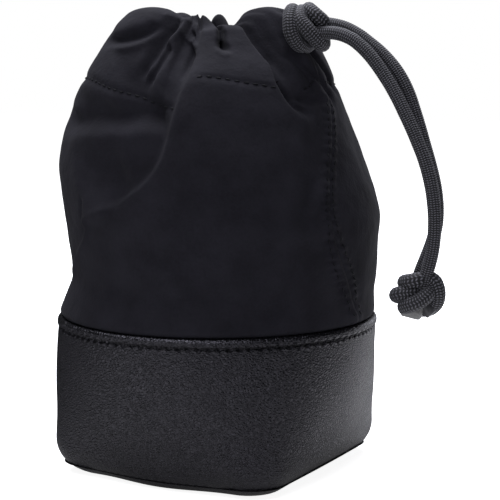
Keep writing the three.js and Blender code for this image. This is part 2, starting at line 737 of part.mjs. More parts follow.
const hanging = new THREE.Group();
hanging.applyMatrix4(endKnotPlace());
pouch.add(hanging);
hanging.add(addMesh("end_knot", endKnot(), CORD));
STRANDS.forEach(([name], i) => hanging.add(addMesh(`tip_${name}`, tip(TIP_ANGLES[i], 0), FUSED)));

export default pouch;
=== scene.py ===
"""Drawstring lens pouch: leather base, gathered nylon upper, braided drawcord and stitching."""

import logging
import math
from collections.abc import Callable, Sequence
from dataclasses import dataclass, field
from enum import Enum

import bpy
import numpy as np
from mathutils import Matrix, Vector, noise
from mathutils.bvhtree import BVHTree


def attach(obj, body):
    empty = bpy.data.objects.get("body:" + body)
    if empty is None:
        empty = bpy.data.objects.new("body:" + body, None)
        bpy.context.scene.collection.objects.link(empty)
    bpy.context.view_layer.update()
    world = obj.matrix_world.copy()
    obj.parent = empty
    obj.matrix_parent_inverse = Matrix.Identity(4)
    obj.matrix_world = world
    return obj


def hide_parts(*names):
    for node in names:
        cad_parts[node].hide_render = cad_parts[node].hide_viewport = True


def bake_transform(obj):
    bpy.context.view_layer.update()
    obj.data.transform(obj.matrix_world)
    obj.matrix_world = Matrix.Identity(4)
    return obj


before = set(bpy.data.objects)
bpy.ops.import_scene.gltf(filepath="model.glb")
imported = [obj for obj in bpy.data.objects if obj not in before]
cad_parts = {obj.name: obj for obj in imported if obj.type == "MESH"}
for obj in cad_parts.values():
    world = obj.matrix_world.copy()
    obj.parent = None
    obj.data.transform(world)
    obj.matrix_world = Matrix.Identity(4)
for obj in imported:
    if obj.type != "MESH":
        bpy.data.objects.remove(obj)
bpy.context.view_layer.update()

LOG = logging.getLogger("lens_pouch")
MM = 0.001

Array = np.ndarray
Piece = bpy.types.Object
Material = bpy.types.Material
Pair = tuple[float, float]
Triple = tuple[float, float, float]
Line = tuple[Pair, ...]
Shape = Callable[[Array, Array], Array]


class Body(Enum):
    """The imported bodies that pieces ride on."""

    POUCH = "pouch"
    KNOT = "knot"
    NECK = "neck"
    TAIL = "tail"


class Slot(Enum):
    """The record's material slots."""

    NYLON = "nylon"
    FOAM = "foam"
    LEATHER = "leather"
    LINING = "lining"
    THREAD = "thread"
    CORD = "cord"
    FUSED = "fused"


class Panel(Enum):
    """The two nylon panels: each starts this many half turns from the right side seam."""

    FRONT = -1
    BACK = 0


# Helpers for numbers


def smoothstep(value: Array, low: float, high: float) -> Array:
    """Returns 0 below low, 1 above high and an even rise between them."""
    share = np.clip((value - low) / (high - low), 0.0, 1.0)
    return share * share * (3.0 - 2.0 * share)


def smooth_line(points: Sequence[Sequence[float]], steps: int = 16) -> Array:
    """Passes a smooth curve through points.

    Args:
        points: The points, each with as many numbers as the curve has dimensions.
        steps: Samples between two neighbouring points.

    Returns:
        The samples along the curve, one row each.
    """
    given = np.asarray(points, float)
    padded = np.vstack([2 * given[0] - given[1], given, 2 * given[-1] - given[-2]])
    t = np.linspace(0.0, 1.0, steps, endpoint=False)[:, None]
    pieces = []
    for before, start, end, after in zip(padded, padded[1:], padded[2:], padded[3:]):
        bend = 2 * before - 5 * start + 4 * end - after
        twist = 3 * start - before - 3 * end + after
        pieces.append(start + 0.5 * t * ((end - before) + t * (bend + t * twist)))
    return np.vstack([*pieces, given[-1:]])


def even_line(points: Array, count: int) -> Array:
    """Sets points at even distances along a line.

    Args:
        points: Points of the line, one row each.
        count: How many points to set.

    Returns:
        The points, one row each.
    """
    steps = np.linalg.norm(np.diff(points, axis=0), axis=1)
    along = np.concatenate([[0.0], np.cumsum(steps)])
    places = np.linspace(0.0, along[-1], count)
    return np.stack([np.interp(places, along, points[:, k]) for k in range(points.shape[1])], axis=1)


def unit(rows: Array) -> Array:
    """Returns directions of length one, one row each."""
    return rows / np.linalg.norm(rows, axis=1)[:, None]


def around(angle: Array, radius: Array, height: Array) -> Array:
    """Returns points about the upright axis, one row each."""
    return np.stack([radius * np.cos(angle), radius * np.sin(angle), height], axis=1)


def line_length(points: Array) -> float:
    """Returns the length of a line of points."""
    return float(np.linalg.norm(np.diff(points, axis=0), axis=1).sum())


def crumple(points: Array, size: float, seed: float) -> Array:
    """Soft noise on points.

    Args:
        points: Places in millimetres, one row each.
        size: Width of one dent in millimetres.
        seed: Shift that gives another pattern.

    Returns:
        One value from about -1 to 1 for each point.
    """
    shift = Vector((seed, 2.0 * seed, -seed))
    return np.array([noise.noise(Vector(p) / size + shift) for p in points])


# Helpers for meshes


def deselect() -> None:
    """Leaves edit mode and selects nothing."""
    if bpy.context.object and bpy.context.object.mode != "OBJECT":
        bpy.ops.object.mode_set(mode="OBJECT")
    bpy.ops.object.select_all(action="DESELECT")


def coordinates(piece: Piece) -> Array:
    """Reads a mesh's points.

    Args:
        piece: The piece.

    Returns:
        The points in metres, one row each.
    """
    flat = np.empty(3 * len(piece.data.vertices))
    piece.data.vertices.foreach_get("co", flat)
    return flat.reshape(-1, 3)


def move_points(piece: Piece, points: Array) -> None:
    """Sets a mesh's points, in metres."""
    piece.data.vertices.foreach_set("co", points.ravel())
    piece.data.update()


def roll_sheet(name: str, grid: tuple[int, int], cut: Pair, shape: Shape) -> Piece:
    """Lays a flat grid and rolls it into a shape.

    Args:
        name: The piece's name.
        grid: Steps across and along the sheet.
        cut: Width and length of the flat sheet in millimetres, which its UV map keeps.
        shape: Gives points in millimetres from shares across and along the sheet.

    Returns:
        The piece, its edges welded where they meet.
    """
    deselect()
    across, along = grid
    bpy.ops.mesh.primitive_grid_add(x_subdivisions=across, y_subdivisions=along, size=1.0, calc_uvs=True)
    piece = bpy.context.object
    piece.name = name
    piece.data.name = name
    flat = coordinates(piece)
    move_points(piece, MM * shape(flat[:, 0] + 0.5, flat[:, 1] + 0.5))
    layer = piece.data.uv_layers.active
    uv = np.empty(2 * len(layer.data))
    layer.data.foreach_get("uv", uv)
    layer.data.foreach_set("uv", (uv.reshape(-1, 2) * np.array(cut)).ravel())
    bpy.ops.object.mode_set(mode="EDIT")
    bpy.ops.mesh.select_all(action="SELECT")
    bpy.ops.mesh.remove_doubles(threshold=1e-6)
    bpy.ops.object.mode_set(mode="OBJECT")
    bpy.ops.object.shade_smooth()
    return piece


def activate(piece: Piece) -> None:
    """Selects one piece alone.

    Args:
        piece: The piece.
    """
    deselect()
    piece.select_set(True)
    bpy.context.view_layer.objects.active = piece


def apply_modifier(piece: Piece, kind: str, **settings: object) -> None:
    """Adds a modifier to a piece, sets it and applies it.

    Args:
        piece: The piece.
        kind: The modifier's type.
        settings: Its settings by name.
    """
    activate(piece)
    bpy.ops.object.modifier_add(type=kind)
    modifier = piece.modifiers[-1]
    for key, value in settings.items():
        setattr(modifier, key, value)
    bpy.ops.object.modifier_apply(modifier=modifier.name)


def thicken(piece: Piece, thickness: float) -> None:
    """Gives a sheet a thickness in millimetres behind its face."""
    apply_modifier(piece, "SOLIDIFY", thickness=thickness * MM, offset=-1.0)


def close_ends(piece: Piece) -> None:
    """Fills the open ends of a tube.

    Args:
        piece: The tube.
    """
    activate(piece)
    bpy.ops.object.mode_set(mode="EDIT")
    bpy.ops.mesh.select_all(action="SELECT")
    bpy.ops.mesh.fill_holes(sides=0)
    bpy.ops.mesh.normals_make_consistent(inside=False)
    bpy.ops.object.mode_set(mode="OBJECT")


def dress(
    piece: Piece, material: Material, slot: Slot, *nodes: str, body: Body | None = Body.POUCH
) -> Piece:
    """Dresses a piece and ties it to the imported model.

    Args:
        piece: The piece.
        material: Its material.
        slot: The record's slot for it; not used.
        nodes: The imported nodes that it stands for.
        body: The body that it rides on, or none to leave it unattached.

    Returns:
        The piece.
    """
    piece.data.materials.clear()
    piece.data.materials.append(material)
    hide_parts(*nodes)
    if body:
        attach(piece, body.value)
    LOG.info("%s: %d faces", piece.name, len(piece.data.polygons))
    return piece


# Shader networks


def operator(operation: str) -> Callable[["Wire", "Wire | float"], "Wire"]:
    """Returns a method that joins a shader value and another by a Math node."""
    return lambda self, other: self.maths(operation, other)


class Wire:
    """A shader value that takes part in Python expressions."""

    def __init__(self, net: "Network", socket: bpy.types.NodeSocket) -> None:
        """Keeps the network and the socket that carries the value."""
        self.net = net
        self.socket = socket

    def maths(self, operation: str, *others: "Wire | float") -> "Wire":
        """Returns the result of a Math node on this value and others."""
        inputs = dict(enumerate([self, *others]))
        return self.net.node("ShaderNodeMath", {"operation": operation}, inputs)

    __add__ = __radd__ = operator("ADD")
    __mul__ = __rmul__ = operator("MULTIPLY")
    __sub__ = operator("SUBTRACT")
    __pow__ = operator("POWER")
    __mod__ = operator("FLOORED_MODULO")

    def __rsub__(self, other: float) -> "Wire":
        """Subtracts this value from a number."""
        return self.maths("MULTIPLY", -1.0) + other

    def wave(self) -> "Wire":
        """Returns the sine."""
        return self.maths("SINE")

    def size(self) -> "Wire":
        """Returns the value without its sign."""
        return self.maths("ABSOLUTE")

    def between(self, low: float, high: float) -> "Wire":
        """Returns 0 below low, 1 above high and an even rise between them."""
        inputs = {"Value": self, "From Min": low, "From Max": high}
        return self.net.node("ShaderNodeMapRange", {"interpolation_type": "SMOOTHSTEP"}, inputs)


class Network:
    """The node tree of a material, or of the world."""

    def __init__(self, name: str, world: bpy.types.World | None = None) -> None:
        """Starts a material with one principled shader, or takes the world's background.

        Args:
            name: The material's name.
            world: The world, where it is the world's tree.
        """
        self.material = world or bpy.data.materials.new(name)
        self.material.use_nodes = True
        self.tree = self.material.node_tree
        self.shader = self.tree.nodes["Background" if world else "Principled BSDF"]

    def node(self, kind: str, settings: dict[str, object], inputs: dict, output: int | str = 0) -> Wire:
        """Adds a node.

        Args:
            kind: The node's type.
            settings: Its properties, set first.
            inputs: Values or wires by socket name or number.
            output: The socket that the wire leaves by.

        Returns:
            The wire from that socket.
        """
        made = self.tree.nodes.new(kind)
        for key, value in settings.items():
            setattr(made, key, value)
        for key, value in inputs.items():
            self.feed(made.inputs[key], value)
        return Wire(self, made.outputs[output])

    def feed(self, socket: bpy.types.NodeSocket, value: object) -> None:
        """Links a wire to a socket or sets the socket's own value.

        Args:
            socket: The socket.
            value: A wire, a number or a colour.
        """
        if isinstance(value, Wire):
            self.tree.links.new(value.socket, socket)
        else:
            socket.default_value = value

    def places(self, stretch: Triple = (1.0, 1.0, 1.0)) -> Wire:
        """Gives Object coordinates in millimetres.

        Args:
            stretch: Factors along the three axes.

        Returns:
            The coordinates as a vector.
        """
        coordinate = self.node("ShaderNodeTexCoord", {}, {}, "Object")
        scale = tuple(factor / MM for factor in stretch)
        return self.node("ShaderNodeMapping", {}, {"Vector": coordinate, "Scale": scale})

    def axis(self, vector: Wire, letter: str) -> Wire:
        """Returns one of a vector's coordinates."""
        return self.node("ShaderNodeSeparateXYZ", {}, {"Vector": vector}, letter)

    def ray(self, kind: str) -> Wire:
        """Returns 1 for one kind of light ray and 0 for others."""
        return self.node("ShaderNodeLightPath", {}, {}, f"Is {kind} Ray")

    def sheet_axes(self) -> tuple[Wire, Wire]:
        """Returns the two UV coordinates, in millimetres of the flat sheet."""
        coordinate = self.node("ShaderNodeTexCoord", {}, {}, "UV")
        return self.axis(coordinate, "X"), self.axis(coordinate, "Y")

    def clouds(self, places: Wire, size: float, detail: float = 2.0) -> Wire:
        """Returns soft noise from 0 to 1 whose clouds are size millimetres wide."""
        inputs = {"Vector": places, "Scale": 1.0 / size, "Detail": detail}
        return self.node("ShaderNodeTexNoise", {}, inputs)

    def blend(self, share: Wire, first: Sequence[float], second: Sequence[float]) -> Wire:
        """Returns a colour between two colours."""
        inputs = {0: share, 6: (*first, 1.0), 7: (*second, 1.0)}
        return self.node("ShaderNodeMix", {"data_type": "RGBA"}, inputs, 2)

    def relief(self, height: Wire, depth: float, strength: float) -> None:
        """Bumps the shader's normal by a height of depth millimetres."""
        inputs = {"Height": height, "Distance": depth * MM, "Strength": strength}
        self.feed(self.shader.inputs["Normal"], self.node("ShaderNodeBump", {}, inputs))

    def surface(self, **values: object) -> None:
        """Feeds the shader's sockets, named with underscores for spaces."""
        for key, value in values.items():
            self.feed(self.shader.inputs[key.replace("_", " ")], value)


@dataclass(frozen=True)
class GrainedLeather:
    """Black leather with a fine pebbled grain, puckered between its edge stitches, in millimetres."""

    dark: Triple = (0.0028, 0.0028, 0.0033)
    light: Triple = (0.0065, 0.0065, 0.0076)
    pebble: float = 1.0
    flatten: float = 1.4
    drift: float = 4.0
    drift_reach: float = 1.6
    fine: float = 0.45
    worn: float = 22.0
    depth: float = 0.42
    pucker_band: Pair = (0.3, 1.2)
    rim_blend: float = 0.3
    stitch_height: float = 43.9
    stitch_rate: float = 105 / 304
    rim_height: float = 45.7

    def material(self) -> Material:
        """Mixes the leather's colour, gloss and relief.

        Returns:
            The leather's material.
        """
        net = Network("grained_leather")
        places = net.places((1.0, 1.0, self.flatten))
        drift = net.clouds(places, self.drift)
        bent = net.node("ShaderNodeVectorMath", {"operation": "MULTIPLY_ADD"},
                        {0: drift, 1: (self.drift_reach,) * 3, 2: places})
        inputs = {"Vector": bent, "Scale": 1.0 / self.pebble}
        edges = net.node("ShaderNodeTexVoronoi", {"feature": "DISTANCE_TO_EDGE"}, inputs)
        pebbles = edges.between(0.0, 0.34)
        fine = net.clouds(places, self.fine, 3.0)
        worn = net.clouds(places, self.worn)
        across, _ = net.sheet_axes()
        height = net.axis(net.places(), "Z")
        band = 1 - (height - self.stitch_height).size().between(*self.pucker_band)
        pucker = band * (across * (2 * math.pi * self.stitch_rate) + math.pi / 2).wave()
        rim = height.between(self.rim_height - self.rim_blend, self.rim_height + self.rim_blend)
        net.relief((pebbles * 0.75 + fine * 0.35) * (1 - 0.75 * rim) + pucker * 1.4, self.depth, 0.9)
        tone = pebbles * 0.6 + worn * 0.5
        net.surface(
            Base_Color=net.blend(tone.between(0.2, 1.0), self.dark, self.light),
            Roughness=0.44 - 0.1 * pebbles + 0.12 * worn - 0.18 * rim,
            Specular_IOR_Level=0.5,
            Specular_Tint=(0.9, 0.87, 1.0, 1.0),
        )
        return net.material


@dataclass(frozen=True)
class BrushedNylon:
    """Matte woven nylon with a short brushed nap."""

    name: str = "brushed_nylon"
    dark: Triple = (0.0084, 0.008, 0.0108)
    light: Triple = (0.0156, 0.015, 0.0198)
    yarn: float = 0.55
    nap: float = 0.8
    shade: float = 9.0
    wrinkle: float = 3.4
    depth: float = 0.1
    sheen: float = 0.015

    def material(self) -> Material:
        """Mixes the cloth's colour, nap and weave.

        Returns:
            The cloth's material.
        """
        net = Network(self.name)
        across, along = net.sheet_axes()
        turn = math.pi / self.yarn
        weave = (across * turn).wave() * (along * turn).wave()
        places = net.places()
        nap = net.clouds(places, self.nap, 4.0)
        shade = net.clouds(places, self.shade, 3.0)
        wrinkle = net.clouds(places, self.wrinkle, 3.0)
        net.relief(weave * 0.04 + nap * 0.9 + wrinkle * 2.4, self.depth, 1.0)
        tone = shade * 0.6 + nap * 0.4 + weave * 0.01
        net.surface(
            Base_Color=net.blend(tone.between(0.25, 0.75), self.dark, self.light),
            Roughness=0.8 + 0.12 * nap,
            Specular_IOR_Level=0.1,
            Sheen_Weight=self.sheen,
            Sheen_Roughness=0.45,
        )
        return net.material


@dataclass(frozen=True)
class BraidedCord:
    """Cord sheath of light and dark yarns in a herringbone braid."""

    dark: Triple = (0.005, 0.005, 0.006)
    light: Triple = (0.12, 0.118, 0.136)
    fuzz: float = 0.5
    depth: float = 0.12

    def material(self) -> Material:
        """Draws the yarns, with painted shade in the grooves between them, on the braid's own UV map.

        Returns:
            The cord's material.
        """
        net = Network("braided_cord")
        column, pick = net.sheet_axes()
        slant = (column % 2.0 - 1.0).size() * Braid.SLANT
        fleck = ((pick + slant) * (2 * math.pi)).wave() * 0.5 + 0.5
        # Painted shade: the edge mask darkens the colour where the yarn columns meet, in the grooves between
        # yarns
        edge = (column * math.pi).wave().size() ** 0.6
        fuzz = net.clouds(net.places(), self.fuzz, 3.0)
        tone = fleck * edge * 0.85 + fuzz * 0.3
        net.relief(fleck * edge + fuzz * 0.4, self.depth, 0.5)
        net.surface(
            Base_Color=net.blend(tone.between(0.4, 1.0), self.dark, self.light),
            Roughness=0.62 + 0.2 * fuzz,
            Specular_IOR_Level=0.4,
            Sheen_Weight=0.1,
        )
        return net.material


@dataclass(frozen=True)
class PlainStuff:
    """A plain finish with soft mottling, for thread, foam, lining, board and fused cord."""

    name: str
    dark: Triple
    light: Triple
    roughness: float
    speck: float
    depth: float
    gloss: float = 0.5

    def material(self) -> Material:
        """Mixes the mottled colour and relief.

        Returns:
            The material.
        """
        net = Network(self.name)
        places = net.places()
        specks = net.clouds(places, self.speck, 4.0)
        patches = net.clouds(places, 12.0 * self.speck)
        net.relief(specks, self.depth, 0.6)
        net.surface(
            Base_Color=net.blend(specks * 0.6 + patches * 0.4, self.dark, self.light),
            Roughness=self.roughness + 0.12 * patches,
            Specular_IOR_Level=self.gloss,
        )
        return net.material


THREAD_FINISH = PlainStuff(
    "sewing_thread", (0.003, 0.003, 0.004), (0.008, 0.008, 0.01), 0.6, 0.3, 0.05, gloss=0.15
)
FOAM_FINISH = PlainStuff("padding_foam", (0.03, 0.03, 0.031), (0.06, 0.06, 0.062), 0.85, 0.6, 0.2)
LINING_FINISH = PlainStuff("lining_cloth", (0.02, 0.02, 0.023), (0.04, 0.04, 0.045), 0.75, 0.5, 0.08)
BOARD_FINISH = PlainStuff("pressed_board", (0.02, 0.02, 0.02), (0.05, 0.05, 0.05), 0.7, 0.8, 0.1)
FUSED_FINISHES = {
    "a": PlainStuff("fused_cord", (0.02, 0.02, 0.022), (0.07, 0.07, 0.075), 0.4, 0.7, 0.15),
    "b": PlainStuff("frayed_cord", (0.05, 0.05, 0.05), (0.3, 0.3, 0.29), 0.5, 0.5, 0.25),
}


# Leather base


@dataclass(frozen=True)
class Base:
    """The leather base: a rounded square at the floor that opens to a round rim, in millimetres."""

    side: float = 76.0
    corner: float = 10.0
    foot_round: float = 9.5
    seam_height: float = 3.0
    rim_radius: float = 48.1
    bulge: float = 1.9
    soften: float = 15.0
    face_round: float = 5.0
    corner_round: float = 11.0
    height: float = 46.4
    wall: float = 1.4
    hem: float = 2.2
    hem_depth: float = 9.0
    bottom: float = 1.6
    stitch_drop: float = 2.5
    groove: float = 0.45
    puff: float = 0.4
    gap: float = 0.3
    soften_heights: Pair = (4.0, 24.0)
    front_facing: Pair = (0.3, 0.9)
    wall_grid: tuple[int, int] = (360, 180)
    wall_length: float = 100.0
    edge_rows: float = 4.0
    edge_depth: float = 1.5
    bottom_grid: tuple[int, int] = (180, 60)
    bottom_length: float = 90.0
    dent: float = 0.35
    dent_size: float = 17.0
    dent_seed: float = 3.1
    dent_rise: Pair = (6.0, 16.0)
    dent_fall: Pair = (36.0, 43.0)

    def square(self, angle: Array) -> Array:
        """Measures the floor's rounded square.

        Args:
            angle: Angles about the axis, in radians.

        Returns:
            Distances from the axis, in millimetres.
        """
        half = self.side / 2
        flat = half - self.corner
        cosine = np.abs(np.cos(angle))
        sine = np.abs(np.sin(angle))
        far = np.maximum(cosine, sine)
        near = np.minimum(cosine, sine)
        reach = flat * (far + near)
        inside = np.maximum(0.0, reach**2 - 2 * flat**2 + self.corner**2)
        return np.where(half / far * near <= flat, half / far, reach + np.sqrt(inside))

    def radius(self, angle: Array, height: Array) -> Array:
        """Measures the wall's outer face above the foot.

        Args:
            angle: Angles about the axis, in radians.
            height: Heights, in millimetres.

        Returns:
            Radii in millimetres.
        """
        share = height / self.height
        bulge = self.bulge * np.sin(np.pi * np.clip(share, 0.0, 1.0))
        turns = np.radians(np.linspace(-self.soften, self.soften, 9))
        rounded = np.mean([self.square(angle + turn) for turn in turns], axis=0)
        soft = smoothstep(height, *self.soften_heights)
        square = self.square(angle) * (1 - soft) + rounded * soft
        return square * (1 - share) + self.rim_radius * share + bulge

    def foot(self, height: Array, depth: float = 0.0) -> Array:
        """Measures how far the rounded foot stands in from the wall.

        Args:
            height: Heights, in millimetres.
            depth: Distance under the outer face, in millimetres.

        Returns:
            Insets in millimetres.
        """
        rise = np.maximum(0.0, self.foot_round - height)
        bend = self.foot_round - depth
        return self.foot_round - np.sqrt(np.maximum(0.0, bend**2 - rise**2))

    def foot_at(self, angle: Array, height: Array) -> Array:
        """Measures how far the foot's outer face stands in, which is tightest on the front face.

        Args:
            angle: Angles about the axis, in radians.
            height: Heights, in millimetres.

        Returns:
            Insets in millimetres.
        """
        front = smoothstep(-np.sin(angle), *self.front_facing) * np.cos(2 * angle) ** 2
        bend = self.corner_round + (self.face_round - self.corner_round) * front
        rise = np.maximum(0.0, bend - height)
        return bend - np.sqrt(np.maximum(0.0, bend**2 - rise**2))

    def wall_profile(self) -> Array:
        """Draws the wall's closed section, outside first.

        Returns:
            Insets and heights in millimetres, one row each.
        """
        low = self.seam_height + self.gap
        stitch = self.height - self.stitch_drop
        outside = [[self.foot(z), z] for z in np.linspace(low, self.foot_round, 12)]
        hem_foot = self.height - self.hem_depth
        # The stitched edge, turned over to the inside
        edge = [
            [0.0, stitch - 2.0],
            [0.05, stitch - 0.7],
            [self.groove, stitch - 0.1],
            [self.groove, stitch + 0.1],
            [0.05 - self.puff, stitch + 0.6],
            [-self.puff, stitch + 1.3],
            [0.1 - self.puff, self.height - 0.5],
            [0.35, self.height],
            [self.hem / 2, self.height + 0.25],
            [self.hem - 0.35, self.height - 0.1],
            [self.hem, self.height - 0.9],
            [self.hem, hem_foot],
            [self.wall, hem_foot - 0.8],
        ]
        inside = [[self.foot(z, self.wall), z] for z in np.linspace(self.foot_round, low, 12)]
        return np.array([*outside, *edge, *inside, outside[0]])

    def wall_shape(self, u: Array, v: Array) -> Array:
        """Places the wall's points.

        Args:
            u: Shares round the base.
            v: Shares along its section.

        Returns:
            The points in millimetres, one row each.
        """
        section = even_line(self.wall_profile(), 8 * self.wall_grid[1])
        edge = section[:, 1] > self.height - self.stitch_drop - self.edge_depth
        crowd = 1 + (self.edge_rows - 1) * edge
        place = (np.cumsum(crowd) - crowd[0]) / (crowd.sum() - crowd[0])
        inset = np.interp(v, place, section[:, 0])
        height = np.interp(v, place, section[:, 1])
        angle = 2 * np.pi * u
        low = (v < place[len(place) // 2]) & (height < self.corner_round)
        radius = self.radius(angle, height) - np.where(low, self.foot_at(angle, height), inset)
        points = around(angle, radius, height)
        rise = smoothstep(height, *self.dent_rise)
        outer = rise * (1 - smoothstep(height, *self.dent_fall)) * (inset < 1.0)
        swell = outer * self.dent * crumple(points, self.dent_size, self.dent_seed)
        points[:, :2] *= (1 + swell / radius)[:, None]
        return points

    def bottom_shape(self, u: Array, v: Array) -> Array:
        """Places the bottom panel's points, from the middle underneath to the middle on top.

        Args:
            u: Shares round the base.
            v: Shares along the panel's section.

        Returns:
            The points in millimetres, one row each.
        """
        under = [[share, self.foot_round, 0.0] for share in np.linspace(0.0, 1.0, 14)]
        outside = [[1.0, self.foot(z), z] for z in np.linspace(0.1, self.seam_height, 8)]
        inside = [[1.0, self.foot(z, self.bottom), z] for z in np.linspace(self.seam_height, self.bottom, 5)]
        inner = self.foot(self.bottom, self.bottom)
        top = [[share, inner, self.bottom] for share in np.linspace(0.98, 0.0, 14)]
        section = np.array([*under, *outside, *inside, *top])
        place = np.linspace(0.0, 1.0, len(section))
        share, inset, height = (np.interp(v, place, section[:, k]) for k in range(3))
        angle = 2 * np.pi * u
        low = place[len(under) + len(outside) - 1]
        foot = np.where(v <= low, self.foot_at(angle, height), inset)
        radius = share * (self.radius(angle, height) - foot)
        return around(angle, radius, height)

    def ring(self, height: float, count: int = 720) -> Array:
        """Draws a closed line round the wall's face.

        Args:
            height: The line's height, in millimetres.
            count: How many points it has.

        Returns:
            The points in millimetres, one row each.
        """
        angle = np.linspace(-np.pi, np.pi, count)
        level = np.full(count, height)
        return around(angle, self.radius(angle, level) - self.foot_at(angle, level), level)

    def build(self, leather: Material) -> Piece:
        """Builds the wall and the bottom panel.

        Args:
            leather: The material of both.

        Returns:
            The wall.
        """
        girth = 4 * self.side
        wall = roll_sheet("leather_base_wall", self.wall_grid, (girth, self.wall_length), self.wall_shape)
        dress(wall, leather, Slot.LEATHER, "leather_wall")
        cut = (girth, self.bottom_length)
        bottom = roll_sheet("leather_base_bottom", self.bottom_grid, cut, self.bottom_shape)
        dress(bottom, leather, Slot.LEATHER, "leather_bottom")
        return wall


# Nylon upper


@dataclass(frozen=True)
class Fold:
    """A crease or ridge in the cloth along a line drawn upwards, with heights in millimetres.

    The line is angles in degrees and heights. The cloth stands off by left and right beside the line, and by
    depth on it.
    """

    line: Line
    depth: float = 0.0
    width: float = 1.5
    left: float = 0.0
    left_reach: float = 10.0
    right: float = 0.0
    right_reach: float = 10.0
    edge: float = 0.9
    fades: Pair = (6.0, 6.0)

    def height(self, across: Array, up: Array, radius_at: Callable) -> Array:
        """Returns the fold's height at points of the unrolled cloth.

        Args:
            across: Distances round the axis, in millimetres.
            up: Heights, in millimetres.
            radius_at: Gives the unrolling radius at a height.

        Returns:
            One height for each point.
        """
        line = smooth_line(self.line, 14)
        trace = np.stack([np.radians(line[:, 0]) * radius_at(line[:, 1]), line[:, 1]], axis=1)
        trace = even_line(trace, 60)
        run = unit(np.gradient(trace, axis=0))
        stands = 4 * max(self.left_reach * (self.left != 0), self.right_reach * (self.right != 0))
        reach = max(3 * self.width, stands)
        low, high = trace.min(axis=0) - reach, trace.max(axis=0) + reach
        near = (across > low[0]) & (across < high[0]) & (up > low[1]) & (up < high[1])
        result = np.zeros(len(across))
        if not near.any():
            return result
        points = np.stack([across[near], up[near]], axis=1)
        gap = points[:, None, :] - trace[None, :, :]
        nearest = np.argmin((gap**2).sum(axis=2), axis=1)
        rows = np.arange(len(points))
        offset = gap[rows, nearest]
        whole = line_length(trace)
        step = whole / (len(trace) - 1)
        slip = np.clip((offset * run[nearest]).sum(axis=1), -step / 2, step / 2)
        offset = offset - slip[:, None] * run[nearest]
        side = run[nearest, 0] * offset[:, 1] - run[nearest, 1] * offset[:, 0]
        away = np.hypot(offset[:, 0], offset[:, 1]) * np.where(side >= 0, 1.0, -1.0)
        along = nearest * step + slip
        shown = smoothstep(along, -0.01, self.fades[0]) * smoothstep(whole - along, -0.01, self.fades[1])
        rise = 1 - np.exp(-((np.abs(away) / self.edge) ** 1.5))
        stand = np.where(
            away >= 0,
            self.left * np.exp(-np.abs(away) / self.left_reach),
            self.right * np.exp(-np.abs(away) / self.right_reach),
        )
        result[near] = shown * (stand * rise + self.depth * np.exp(-((away / self.width) ** 2)))
        return result


def crease(depth: float, width: float, fades: Pair, *line: Pair) -> Fold:
    """Returns a fold that only stands off on its line: a ridge, or a crease where its depth is negative."""
    return Fold(line, depth=depth, width=width, fades=fades)


@dataclass(frozen=True)
class Gather:
    """One lobe or valley of the gathered mouth.

    The angle and drift are in degrees and degrees per millimetre down. Swell is how far the cloth stands out
    from the outline at the cord, and top is the height of the hem there, in millimetres.
    """

    angle: float
    swell: float
    top: float
    drift: float = 0.0


@dataclass(frozen=True)
class Bulb:
    """A small roll of cloth on the turned hem: its angle, its share of the way over, its rise and widths."""

    angle: float
    share: float
    rise: float
    width: float
    share_width: float = 0.2

    def height(self, angle: Array, share: Array, radius: Array) -> Array:
        """Measures how far the roll lifts the hem.

        Args:
            angle: Angles about the axis, in radians.
            share: Shares of the way over the hem.
            radius: Radii in millimetres.

        Returns:
            One value in millimetres for each point.
        """
        turn = (np.degrees(angle) - self.angle + 180.0) % 360.0 - 180.0
        away = np.radians(turn) * radius / self.width
        return self.rise * np.exp(-(away**2) - ((share - self.share) / self.share_width) ** 2)


# Lobes and valleys round the mouth: angle, swell, top and drift
GATHERS = tuple(Gather(*row) for row in (
    (-125.0, 0.0, 138.2), (-101.0, -1.0, 137.2), (-92.5, -4.2, 135.8), (-88.0, -2.4, 136.0),
    (-83.5, -6.0, 134.8), (-78.0, -5.2, 134.2), (-73.5, -4.4, 132.0, -0.06), (-69.0, -3.4, 132.4, -0.06),
    (-55.0, -2.8, 132.8, 0.15), (-37.0, -3.0, 132.6, 0.45), (-31.5, -6.4, 132.4, 0.45),
    (-25.5, -3.4, 134.2, 0.3), (-19.0, -1.0, 136.6, 0.2), (-10.0, 0.7, 138.4), (6.0, 0.4, 138.0),
    (22.0, 0.0, 137.6), (44.0, -6.4, 133.2, -0.2), (66.0, 0.0, 137.8), (94.0, -6.6, 133.0, 0.2),
    (108.0, -1.4, 134.2), (115.0, -0.6, 138.0), (122.0, -1.4, 134.2), (133.0, -6.4, 133.4),
    (150.0, 0.0, 137.6), (172.0, -5.6, 133.6),
))

# Small rolls of cloth pushed up behind the front hem
BULBS = (
    Bulb(-70.0, 0.6, 3.4, 2.5),
    Bulb(-69.0, 0.3, -0.7, 3.0),
    Bulb(-80.0, 0.55, 1.4, 2.4),
)

# The right side seam: angles in degrees and heights
SEAM_LINE: Line = (
    (-1.8, 46.4), (-3.0, 49.0), (-6.0, 53.0), (-8.4, 57.4), (-11.8, 62.2), (-15.0, 66.8), (-18.8, 74.0),
    (-20.4, 79.0), (-20.2, 82.4), (-19.0, 86.7), (-16.5, 92.0), (-12.8, 97.5), (-8.8, 103.0), (-5.0, 108.5),
    (-3.4, 114.0), (-4.4, 122.0), (-8.0, 131.6),
)

# Heights along the side seam, with the distance from its middle to a row of stitches
SEAM_ROWS: Line = (
    (46.4, 2.2), (52.0, 2.2), (57.0, 2.6), (62.0, 3.2), (67.0, 3.1), (71.0, 2.6), (76.0, 1.7), (81.0, 1.4),
    (87.0, 1.2), (93.0, 1.5), (112.0, 1.6),
)

